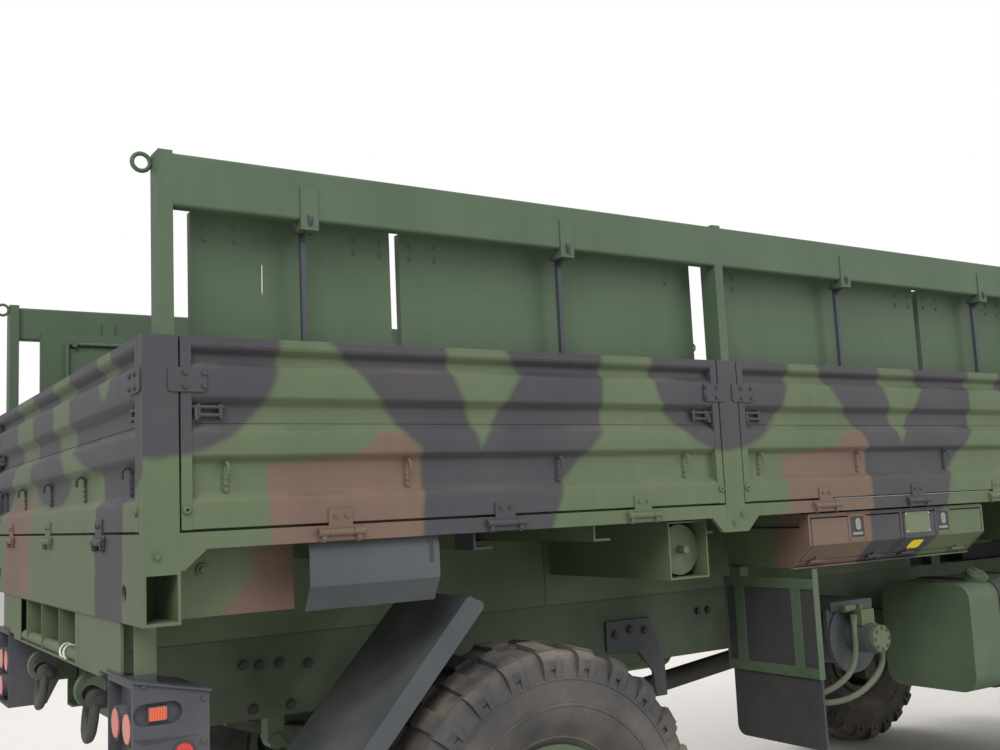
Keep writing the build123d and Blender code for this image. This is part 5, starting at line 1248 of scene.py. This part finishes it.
class TRUCK_OT_chassis_fittings(bpy.types.Operator):
    """Adds painted seam shadows, bolts and brackets to the chassis rails, and dresses the winch and the tank"""

    bl_idname = "truck.chassis_fittings"
    bl_label = "Chassis Fittings"

    def execute(self, context):
        seam_shadows, brackets, bolts = Shape(), Shape(), []
        for _, side in SIDES:
            # Thin black strips along and across the rail: painted shadow at the rail's seam lines
            for x, z in (((0.155, 4.080), (1.2185, 1.2215)), ((1.790, 1.793), (1.224, 1.490))):
                seam_shadows.side_box(side, x, (RAIL_Y - 0.002, RAIL_Y + 0.0008), z)
            brackets.side_prism(side, BRACKET, (RAIL_Y, BRACKET_Y))
            bolts += [side_plane(x, z, side, RAIL_Y) for x, z in RAIL_BOLTS]
            bolts += [side_plane(x, z, side, BRACKET_Y) for x, z in BRACKET_BOLTS]
        seam_shadows.finish("rail_seams", "chassis", "plastic")
        brackets.finish("spring_brackets", "chassis", "slate", edge=0.002)
        add_fasteners("rail_bolts", "chassis", bolts, "plastic", slot="chassis_paint", radius=0.014, height=0.011,
                      washer=0.020)
        self.dress_winch()
        self.dress_tank()
        return {"FINISHED"}

    def dress_winch(self):
        """End cap with flat black discs as painted shade in its scallops, valve block and two hoses."""
        x = from_rear(WINCH)
        end = plane_at((x, -1.010, 1.010), (1, 0, 0), (0, -1, 0))
        cap, hoses, scallop_shades = Shape(), Shape(), Shape()
        for radius, low, high in ((0.050, -0.004, 0.012), (0.056, 0.011, 0.034), (0.060, -0.060, -0.003)):
            cap.drum(end, radius, low, high, 32, 0.003)
        # Flat black discs on the cap's rim: painted shade of the scallops
        for turn in turns(8):
            place = end @ Matrix.Translation((0.044 * math.cos(turn), 0.044 * math.sin(turn), 0))
            scallop_shades.drum(place, 0.0095, 0.030, 0.0348, 12)
        cap.box((x - 0.045, x + 0.035), (-0.985, -0.930), (1.062, 1.128))
        cap.drum(plane_at((x - 0.020, -0.958, 1.128), (1, 0, 0), (0, 0, 1)), 0.013, -0.002, 0.020, 12, 0.002)
        cap.drum(plane_at((x - 0.105, -0.940, 1.135), (0, 1, 0), (1, 0, 0)), 0.016, 0.0, 0.070, 14, 0.002)
        for path in HOSES:
            hoses.bar([(x + a, b, c) for a, b, c in smooth_path(path)], 0.0125, 12)
            nut = Vector(path[0]) + Vector((x, 0.0, 0.0))
            cap.drum(plane_at(nut, (1, 0, 0), (0, 0, 1)), 0.0165, -0.018, 0.014, 6, 0.002)
        cap.finish("winch_fittings", "chassis", "pale", edge=0.0015)
        scallop_shades.finish("winch_scallops", "chassis", "plastic", slot="chassis_paint")
        hoses.finish("winch_hoses", "chassis", "hose", smooth=60)

    def dress_tank(self):
        """Rubber under the tank's straps, a winged cap and a small plate."""
        low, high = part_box("fuel_tank")
        rubber, metal = Shape(), Shape()
        width, height = (v[1] - v[0] for v in TANK_SECTION)
        middle = [sum(v) / 2 for v in TANK_SECTION]
        for x in (low.x + 0.245, high.x - 0.200):
            rings = []
            for grow, half in ((0.0008, 0.0315), (0.0065, 0.0315), (0.0065, -0.0315), (0.0008, -0.0315)):
                outline = rounded(width + 2 * grow, height + 2 * grow, 0.070 + grow, 8, middle)
                rings.append([(x + half, y, z) for y, z in outline])
            rubber.shell(rings + rings[:1], cap=False)
        cap = plane_at((from_rear(3.680), -1.074, 1.222), (1, 0, 0), (0, -0.5547, 0.8321))
        metal.drum(cap, 0.050, 0.000, 0.016, 28, 0.003)
        metal.drum(cap, 0.012, 0.014, 0.026, 12, 0.002)
        for turn in (0, 90):
            wing = cap @ Matrix.Rotation(math.radians(turn), 4, "Z") @ Matrix.Translation((0, 0, 0.015))
            metal.plate(rounded(0.094, 0.009, 0.004, 3), wing, 0.009)
        metal.plate(rounded(0.120, 0.055, 0.006, 3), side_plane(3.930, 1.020, -1, 1.1502), 0.0015)
        rubber.finish("tank_strap_rubber", "chassis", "rubber")
        metal.finish("tank_fittings", "chassis", "green", edge=0.001)


STOW_FACE = 1.196
STOW_DOORS = (("rear", 2.765), ("front", 3.306))
# Bars of the square frame round a latch: across, up, width, height
LATCH_FRAME = ((0, 0.047, 0.106, 0.014), (0, -0.047, 0.106, 0.014), (0.046, 0, 0.014, 0.082),
               (-0.046, 0, 0.014, 0.082))


def corner_spots(plane, across, up, out):
    """Planes at the four corners about a plane's own middle."""
    return [plane @ Matrix.Translation((a, b, out)) for a in (-across, across) for b in (-up, up)]


class TRUCK_OT_stowage(bpy.types.Operator):
    """Adds latches, a blank data plate, a blank label and the lower lip to the stowage box"""

    bl_idname = "truck.stowage"
    bl_label = "Stowage"

    def execute(self, context):
        for label, place in STOW_DOORS:
            body = f"stowage_door_{label}"
            frame_bars, recess, lever = Shape(), Shape(), Shape()
            plane = side_plane(place, 1.4825, -1, STOW_FACE)
            for across, up, width, height in LATCH_FRAME:
                frame_bars.plate(rounded(width, height, 0.002, 2, (across, up)), plane, 0.0022)
            frame_bars.finish(body + "_latch", body, "camouflage", edge=0.0006)
            # Flat black plate inside the latch frame: painted shade of the latch's recess
            recess.plate(rounded(0.080, 0.082, 0.003, 2), plane, 0.0006)
            recess.finish(body + "_recess", body, "plastic")
            raised = plane @ Matrix.Translation((0, 0, 0.0004))
            lever.plate(rounded(0.030, 0.046, 0.012, 4, (0.004, 0.010)), raised, 0.003)
            lever.plate(rounded(0.060, 0.011, 0.004, 3, (-0.002, -0.026)), raised, 0.004)
            lever.drum(plane @ Matrix.Translation((0.004, 0.010, 0)), 0.008, 0.0, 0.005, 14, 0.001)
            lever.finish(body + "_lever", body, "steel", edge=0.0006)
            add_fasteners(body + "_rivets", body, corner_spots(plane, 0.047, 0.047, 0.0022), "camouflage",
                          radius=0.0028, height=0.0015, washer=0.0032)
        # Blank plate, which rides on the front door
        body = "stowage_door_front"
        card = side_plane(3.141, 1.4840, -1, STOW_FACE)
        sheet = Shape().plate(rounded(0.158, 0.084, 0.003, 2), card, 0.0012)
        sheet.finish("stowage_data_plate", body, "data_plate")
        add_fasteners("stowage_plate_rivets", body, corner_spots(card, 0.073, 0.036, 0.0012), "wire",
                      radius=0.0025, height=0.0012, washer=0.003)
        # Blank label on the slope under the front door's face
        slope = Vector((0.0, 0.100, -0.085)).normalized()
        origin = Vector((from_rear(3.158), -STOW_FACE, 1.423)) + slope * 0.046
        label_plane = plane_at(origin, (1, 0, 0), (0.0, -0.085, -0.100))
        sticker = Shape().plate(rounded(0.078, 0.052, 0.014, 4), label_plane, 0.0008)
        sticker.finish("stowage_label", body, "label")
        lip = Shape().side_box(-1, (2.488, 3.589), (1.088, 1.108), (1.3325, 1.3385))
        lip.finish("stowage_lip", "chassis", "camouflage", edge=0.0008)
        return {"FINISHED"}


# Cab

# Levels of a pad's rings from its ends, and how far each lies inside its outline
PAD_ENDS = ((0.0, 0.018), (0.008, 0.006), (0.022, 0.0))
PAD_VOXEL = 0.012
PAD_REACH = 0.009  # how far the cloth's pressure may move a point
SEAM_SHARE = 0.36  # where the stitched channels lie between a pad's middle and its ends


def pad_rings(plane, outline, half):
    """Rings of a pad with eased ends, across a plane's own Z."""
    middle = [sum(v) / len(outline) for v in zip(*outline)]
    levels = [(level - half, ease) for level, ease in PAD_ENDS]
    levels += [(half - level, ease) for level, ease in reversed(PAD_ENDS)]
    rings = []
    for level, ease in levels:
        ring = []
        for a, b in outline:
            share = 1.0 - ease / math.hypot(a - middle[0], b - middle[1])
            ring.append(plane @ Vector((middle[0] + (a - middle[0]) * share, middle[1] + (b - middle[1]) * share,
                                        level)))
        rings.append(ring)
    return rings


def fill_pad(holder, mesh, stitched):
    """Fills a pad with cloth pressure and moves its points as far as they may go."""
    scene = bpy.context.scene
    holder.vertex_groups.new(name="stitched").add(stitched, 1.0, "REPLACE")
    puff = holder.modifiers.new("puff", "CLOTH")
    puff.settings.use_pressure = True
    puff.settings.uniform_pressure_force = 4.0
    puff.settings.vertex_group_mass = "stitched"
    puff.settings.effector_weights.gravity = 0.0
    for step in range(1, 21):
        scene.frame_set(step)
    full = holder.evaluated_get(bpy.context.evaluated_depsgraph_get()).data
    moves = [there.co - here.co for here, there in zip(mesh.vertices, full.vertices)]
    holder.modifiers.remove(puff)
    holder.vertex_groups.clear()
    scene.frame_set(1)
    for vertex, move in zip(mesh.vertices, moves):
        vertex.co += move * min(1.0, PAD_REACH / max(move.length, 1e-9))


def add_pad(name, plane, outline, half):
    """A seat pad that cloth pressure fills between its stitched channels."""
    rough = Shape().shell(pad_rings(plane, outline, half)).to_mesh(name + "_rough")
    holder = bpy.data.objects.new(name + "_work", rough)
    bpy.context.scene.collection.objects.link(holder)
    even = holder.modifiers.new("even", "REMESH")
    even.mode = "VOXEL"
    even.voxel_size = PAD_VOXEL
    mesh = bpy.data.meshes.new_from_object(holder.evaluated_get(bpy.context.evaluated_depsgraph_get()))
    holder.modifiers.remove(even)
    holder.data = mesh
    back = plane.inverted()
    stitched = [v.index for v in mesh.vertices if abs(abs((back @ v.co).z) - half * SEAM_SHARE) < PAD_VOXEL / 2]
    fill_pad(holder, mesh, stitched)
    bpy.data.objects.remove(holder)
    piece = finish_mesh(mesh, name, "cab", "fabric", smooth=180)
    finer = piece.modifiers.new("finer", "SUBSURF")
    finer.levels = finer.render_levels = 1


class TRUCK_OT_seats(bpy.types.Operator):
    """Builds the cab seats: boxes with padded cushions and backs"""

    bl_idname = "truck.seats"
    bl_label = "Seats"

    def execute(self, context):
        boxes = Shape()
        tilt = math.radians(10.95)
        for label, side in SIDES:
            y = side * 0.760
            boxes.box((from_rear(4.800), from_rear(5.300)), (y - 0.250, y + 0.250), (1.410, 1.568))
            flat = plane_at((from_rear(5.045), y, 1.635), (1, 0, 0), (0, 1, 0))
            add_pad(f"seat_cushion_{label}", flat, rounded(0.510, 0.112, 0.040, 4), 0.250)
            upright = plane_at((from_rear(4.805), y, 2.000), (math.cos(tilt), 0, math.sin(tilt)), (0, 1, 0))
            add_pad(f"seat_back_{label}", upright, rounded(0.098, 0.596, 0.040, 4), 0.240)
        boxes.finish("seat_boxes", "cab", "plastic", edge=0.004, replaces=("cab_seats",))
        return {"FINISHED"}


SCREEN_FACING = (0.9754, 0.0, 0.2205)
# The door window's seal from the middle of its rear edge, as (distance from the rear, height)
DOOR_WINDOW = ((5.120, 2.225), (5.120, 2.490), (5.925, 2.490), (6.035, 1.960), (5.120, 1.960), (5.120, 2.225))
HEADLAMP_RIM = ((0.073, 0.0), (0.083, 0.0), (0.083, 0.004), (0.077, 0.010), (0.073, 0.008))


class TRUCK_OT_cab_trim(bpy.types.Operator):
    """Adds seals, wipers, handles, lamp lenses and mirror glass"""

    bl_idname = "truck.cab_trim"
    bl_label = "Cab Trim"

    def execute(self, context):
        seals, wipers, lamps, rims = Shape(), Shape(), Shape(), Shape()
        screen = plane_at((from_rear(6.2175), 0.0, 2.295), (0, 1, 0), SCREEN_FACING)
        back = plane_at((from_rear(4.420), 0.0, 2.250), (0, -1, 0), (-1, 0, 0))
        panes = [(screen, rounded(0.966, 0.596, 0.043, 5, (y, 0.0))) for y in (-0.520, 0.520)]
        for plane, outline in panes + [(back, rounded(1.106, 0.426, 0.043, 5))]:
            seals.bar([plane @ Vector((a, b, -0.001)) for a, b in outline], 0.010, 8, closed=True)
        for y in (-0.520, 0.520):
            pivot = screen @ Vector((y * 0.62, -0.325, 0.004))
            wipers.bar([pivot, screen @ Vector((y * 1.15, -0.020, -0.006))], 0.0055, 8)
            wipers.drum(plane_at(pivot, (0, 1, 0), SCREEN_FACING), 0.016, -0.004, 0.008, 16, 0.002)
            blade = ((-0.170, -0.270), (0.0675, 0.220))
            wipers.bar([screen @ Vector((y * 1.15 + across, up, -0.010)) for across, up in blade], 0.0045, 6)
        seals.finish("cab_seals", "cab", "rubber", smooth=60)
        wipers.finish("cab_wipers", "cab", "plastic")
        for label, side in SIDES:
            body = f"cab_door_{label}"
            seal, handle = Shape(), Shape()
            loop = round_corners(DOOR_WINDOW, 0.045, 5)[:-1]
            seal.bar([(from_rear(x), side * 1.1895, z) for x, z in loop], 0.009, 8, closed=True)
            seal.finish(f"door_{label}_seal", body, "rubber", smooth=60)
            plane = side_plane(5.120, 1.800, side, 1.190)
            handle.plate(rounded(0.150, 0.050, 0.010, 3), plane, 0.003)
            grip = ((-0.055, 0.0, 0.002), (-0.050, 0.0, 0.020), (0.050, 0.0, 0.020), (0.055, 0.0, 0.002))
            handle.bar([plane @ Vector(v) for v in grip], 0.007, 8)
            handle.finish(f"door_{label}_handle", body, "plastic", edge=0.001)
            glass = plane_at((from_rear(6.025), side * 1.380, 2.210), (0, -1, 0), (-1, 0, 0))
            face = Shape().plate(rounded(0.168, 0.350, 0.016, 4), glass, 0.0015)
            face.finish(f"mirror_{label}_glass", body, "mirror")
            lamp = plane_at((from_rear(6.372), side * 0.930, 0.800), (0, 1, 0), (1, 0, 0))
            lamps.drum(lamp, 0.074, -0.002, 0.006, 40, 0.003)
            rims.turned(HEADLAMP_RIM, lamp, 40)
        lamps.finish("headlamp_lenses", "chassis", "clear")
        rims.finish("headlamp_rims", "chassis", "plastic")
        return {"FINISHED"}


# Tyres and wheels

# A lug's parts down the shoulder: how far round of the lug's middle, width, and the radius of the foot
LUG_FEET = ((-0.165, 0.17, 0.512), (0.165, 0.17, 0.512), (0.0, 0.20, 0.548))
LUG_SKEW = 0.12
# Ribs on a sidewall, as (radius, distance from the tyre's middle)
SIDEWALL_RIBS = ((0.485, 0.1915), (0.405, 0.1950), (0.300, 0.1430))
# Rings of nuts and bolts: radius, distance from the tyre's middle
RIM_NUTS = (0.185, 0.096)
HUB_BOLTS = (0.088, 0.148)


def tyre_lug(axle, groove, pitch, flip):
    """One lug of half a tread, its two feet down the shoulder and the block between them."""
    shape = Shape()
    offset = pitch / 2 if flip == 1 else 0.0
    rows = []
    for place, share in ((0.012, 0.0), (0.089, 0.5), (0.166, 1.0)):
        middle = offset + pitch * LUG_SKEW * flip * share
        top = AXLE_HEIGHT - 0.010 * place / 0.19
        corners = ((groove - 0.01, -0.25), (groove - 0.01, 0.25), (top, 0.21), (top, -0.21))
        rows.append([around(axle, level, middle + pitch * turn, place * flip) for level, turn in corners])
    shape.shell(rows)
    for prong, width, low in LUG_FEET:
        middle = offset + pitch * (LUG_SKEW * flip + prong)
        start, end = middle - pitch * width / 2, middle + pitch * width / 2
        rows = []
        for place, level in ((0.150, AXLE_HEIGHT - 0.010), (0.1790, AXLE_HEIGHT - 0.028), (0.1890, 0.545),
                             (0.1915, low)):
            ring = [around(axle, level, turn, flip * (place + 0.005)) for turn in (start, end)]
            ring += [around(axle, level - 0.030, turn, flip * place) for turn in (end, start)]
            rows.append(ring)
        shape.shell(rows)
    return shape


def build_tyre(corner, side, centre_x):
    """A cross country tyre: carcass, shoulder and centre lugs, sidewall ribs."""
    settings = bpy.context.scene.truck_tyre
    node, body = f"tyre_{corner}", f"wheel_{corner}"
    groove = AXLE_HEIGHT - settings.lug_height
    centre = Vector((centre_x, side * WHEEL_Y, AXLE_HEIGHT))
    axle = plane_at(centre, (1, 0, 0), (0, 1, 0))
    # Outer line of the section from the bead to the tread: (radius, place)
    half = [(0.255, 0.108), (0.262, 0.124), (0.284, 0.131), (0.310, 0.150), (0.345, 0.176), (0.390, 0.1935),
            (0.430, 0.1965), (0.470, 0.1940), (0.505, 0.1870), (0.535, 0.1770), (groove - 0.006, 0.160),
            (groove, 0.142), (groove, 0.07)]
    section = half + [(groove, 0.0)] + [(r, -p) for r, p in reversed(half)] + [(0.2555, -0.060), (0.2555, 0.060)]
    carcass = Shape().turned(section, axle, 96)
    carcass.finish(node + "_carcass", body, "tyre", smooth=60, replaces=(node,))
    ribs = Shape()
    for flip in (1, -1):
        lug = tyre_lug(axle, groove, 2 * math.pi / settings.lugs, flip).to_mesh("lug")
        mesh = run_tree(lug, made_once(ring_tree), Count=settings.lugs, Centre=centre, Material=MATERIALS["tyre"])
        label = "outer" if flip == side else "inner"
        finish_mesh(mesh, f"{node}_lugs_{label}", body, "tyre", edge=0.003, smooth=35)
        for level, place in SIDEWALL_RIBS:
            rib = ((-0.004, -0.004), (0.004, -0.004), (0.003, 0.003), (-0.003, 0.003))
            ribs.turned([(level + a, flip * (place + b)) for a, b in rib], axle, 96)
    ribs.finish(node + "_ribs", body, "tyre", smooth=50)


class TRUCK_OT_wheels(bpy.types.Operator):
    """Builds the tyres and dresses the rims"""

    bl_idname = "truck.wheels"
    bl_label = "Wheels"

    def execute(self, context):
        count = context.scene.truck_tyre.nuts
        for end, x in (("rear", REAR_AXLE), ("front", FRONT_AXLE)):
            for label, side in SIDES:
                corner = f"{end}_{label}"
                build_tyre(corner, side, x)
                nuts = []
                for (radius, out), angles in ((RIM_NUTS, turns(count)), (HUB_BOLTS, turns(8, math.pi / 8))):
                    face = plane_at((x, side * (WHEEL_Y + out), AXLE_HEIGHT), (1, 0, 0), (0, side, 0))
                    nuts += [face @ Matrix.Translation((radius * math.cos(turn), radius * math.sin(turn), 0))
                             for turn in angles]
                add_fasteners(f"wheel_{corner}_nuts", f"wheel_{corner}", nuts, "green", radius=0.016,
                              height=0.018, washer=0.021)
        return {"FINISHED"}


# Stage

FLOOR_REACH = 60.0


def add_area(name, place, target, size, power):
    """A soft square lamp that looks at a target."""
    lamp = bpy.data.lights.new(name, "AREA")
    lamp.shape = "SQUARE"
    lamp.size = size
    lamp.energy = power
    holder = bpy.data.objects.new(name, lamp)
    bpy.context.scene.collection.objects.link(holder)
    holder.location = place
    holder.rotation_euler = (Vector(target) - Vector(place)).to_track_quat("-Z", "Y").to_euler()


def floor_material():
    """Pale floor with a fine grain."""
    material, nodes, shader, point, _ = start_material("pale_floor")
    colour = nodes.mix(nodes.noise(point, 14.0, 5.0, 0.6), (0.66, 0.63, 0.60, 1), (0.74, 0.72, 0.69, 1))
    finish_shader(nodes, shader, colour, nodes.noise(point, 120.0, 3.0, 0.6), 0.002, 0.3, Roughness=0.9)
    return material


def make_world(strength):
    """Even white light, and a white background for the camera and for reflections."""
    world = bpy.data.worlds.new("studio")
    bpy.context.scene.world = world
    world.use_nodes = True
    tree = world.node_tree
    tree.nodes.clear()
    nodes = Nodes(tree)
    output = nodes.add("ShaderNodeOutputWorld")
    background = nodes.add("ShaderNodeBackground")
    background.inputs["Color"].default_value = (1.0, 1.0, 1.0, 1)
    path = nodes.add("ShaderNodeLightPath").outputs
    seen = nodes.plus(nodes.plus(path["Is Camera Ray"], path["Is Glossy Ray"]), path["Is Transmission Ray"])
    nodes.feed(background.inputs["Strength"], nodes.blend(nodes.math("MINIMUM", seen, 1.0), strength, 1.0))
    tree.links.new(background.outputs[0], output.inputs[0])


def camera_matrix(stage):
    """The camera's place and turn from its yaw, pitch and roll."""
    yaw, pitch, roll = (math.radians(v) for v in (stage.yaw, stage.pitch, stage.roll))
    forward = Vector((math.cos(yaw) * math.cos(pitch), math.sin(yaw) * math.cos(pitch), math.sin(pitch)))
    right = Vector((math.sin(yaw), -math.cos(yaw), 0.0))
    up = right.cross(forward)
    turned_right = right * math.cos(roll) + up * math.sin(roll)
    turned_up = up * math.cos(roll) - right * math.sin(roll)
    matrix = Matrix((turned_right, turned_up, -forward)).transposed().to_4x4()
    matrix.translation = Vector(stage.camera_place)
    return matrix


class TRUCK_OT_stage(bpy.types.Operator):
    """Sets the floor, the lamps and the camera at the photographed angle"""

    bl_idname = "truck.stage"
    bl_label = "Stage"

    def execute(self, context):
        stage = context.scene.truck_stage
        mesh = bpy.data.meshes.new("floor")
        corners = [(x, y, 0) for x, y in oblong(-FLOOR_REACH, FLOOR_REACH, -FLOOR_REACH, FLOOR_REACH)]
        mesh.from_pydata(corners, [], [(0, 1, 2, 3)])
        mesh.materials.append(floor_material())
        ground = bpy.data.objects.new("floor", mesh)
        context.scene.collection.objects.link(ground)
        make_world(stage.sky)
        add_area("key", (-7.5, -7.0, 8.5), (-0.5, 0.0, 1.2), 6.0, stage.key)
        add_area("fill", (5.0, -9.0, 4.0), (1.0, 0.0, 1.3), 6.0, stage.key * 0.35)
        add_area("back", (2.0, 8.0, 9.0), (0.0, 0.0, 1.8), 7.0, stage.key * 0.8)
        camera = bpy.data.cameras.new("camera")
        camera.sensor_width = 36.0
        camera.lens = stage.focal
        holder = bpy.data.objects.new("camera", camera)
        context.scene.collection.objects.link(holder)
        holder.matrix_world = camera_matrix(stage)
        context.scene.camera = holder
        context.scene.view_settings.view_transform = "Standard"
        return {"FINISHED"}


class TRUCK_PT_panel(bpy.types.Panel):
    """Lists the steps that dress the truck"""

    bl_idname = "TRUCK_PT_panel"
    bl_label = "Cargo Truck"
    bl_space_type = "VIEW_3D"
    bl_region_type = "UI"
    bl_category = "Truck"

    def draw(self, context):
        for operator in OPERATORS:
            self.layout.operator(operator.bl_idname)


OPERATORS = (
    TRUCK_OT_paint_frame,
    TRUCK_OT_seats,
    TRUCK_OT_side_panels,
    TRUCK_OT_panel_fittings,
    TRUCK_OT_rack_fittings,
    TRUCK_OT_body_fittings,
    TRUCK_OT_mudguards,
    TRUCK_OT_tail,
    TRUCK_OT_chassis_fittings,
    TRUCK_OT_stowage,
    TRUCK_OT_cab_trim,
    TRUCK_OT_wheels,
    TRUCK_OT_stage,
)
SETTINGS = (
    ("truck_paint", TruckPaintSettings),
    ("truck_fitting", TruckFittingSettings),
    ("truck_tyre", TruckTyreSettings),
    ("truck_stage", TruckStageSettings),
)


def register():
    """Registers the settings, the operators and the panel."""
    for label, group in SETTINGS:
        bpy.utils.register_class(group)
        setattr(bpy.types.Scene, label, PointerProperty(type=group))
    for operator in OPERATORS:
        bpy.utils.register_class(operator)
    bpy.utils.register_class(TRUCK_PT_panel)


def unregister():
    """Takes the settings, the operators and the panel away again."""
    bpy.utils.unregister_class(TRUCK_PT_panel)
    for operator in reversed(OPERATORS):
        bpy.utils.unregister_class(operator)
    for label, group in reversed(SETTINGS):
        delattr(bpy.types.Scene, label)
        bpy.utils.unregister_class(group)


def main():
    """Dresses the truck."""
    register()
    bpy.ops.truck.paint_frame()
    bpy.ops.truck.seats()
    bpy.ops.truck.side_panels()
    bpy.ops.truck.panel_fittings()
    bpy.ops.truck.rack_fittings()
    bpy.ops.truck.body_fittings()
    bpy.ops.truck.mudguards()
    bpy.ops.truck.tail()
    bpy.ops.truck.chassis_fittings()
    bpy.ops.truck.stowage()
    bpy.ops.truck.cab_trim()
    bpy.ops.truck.wheels()
    bpy.ops.truck.stage()


if __name__ == "__main__":
    main()
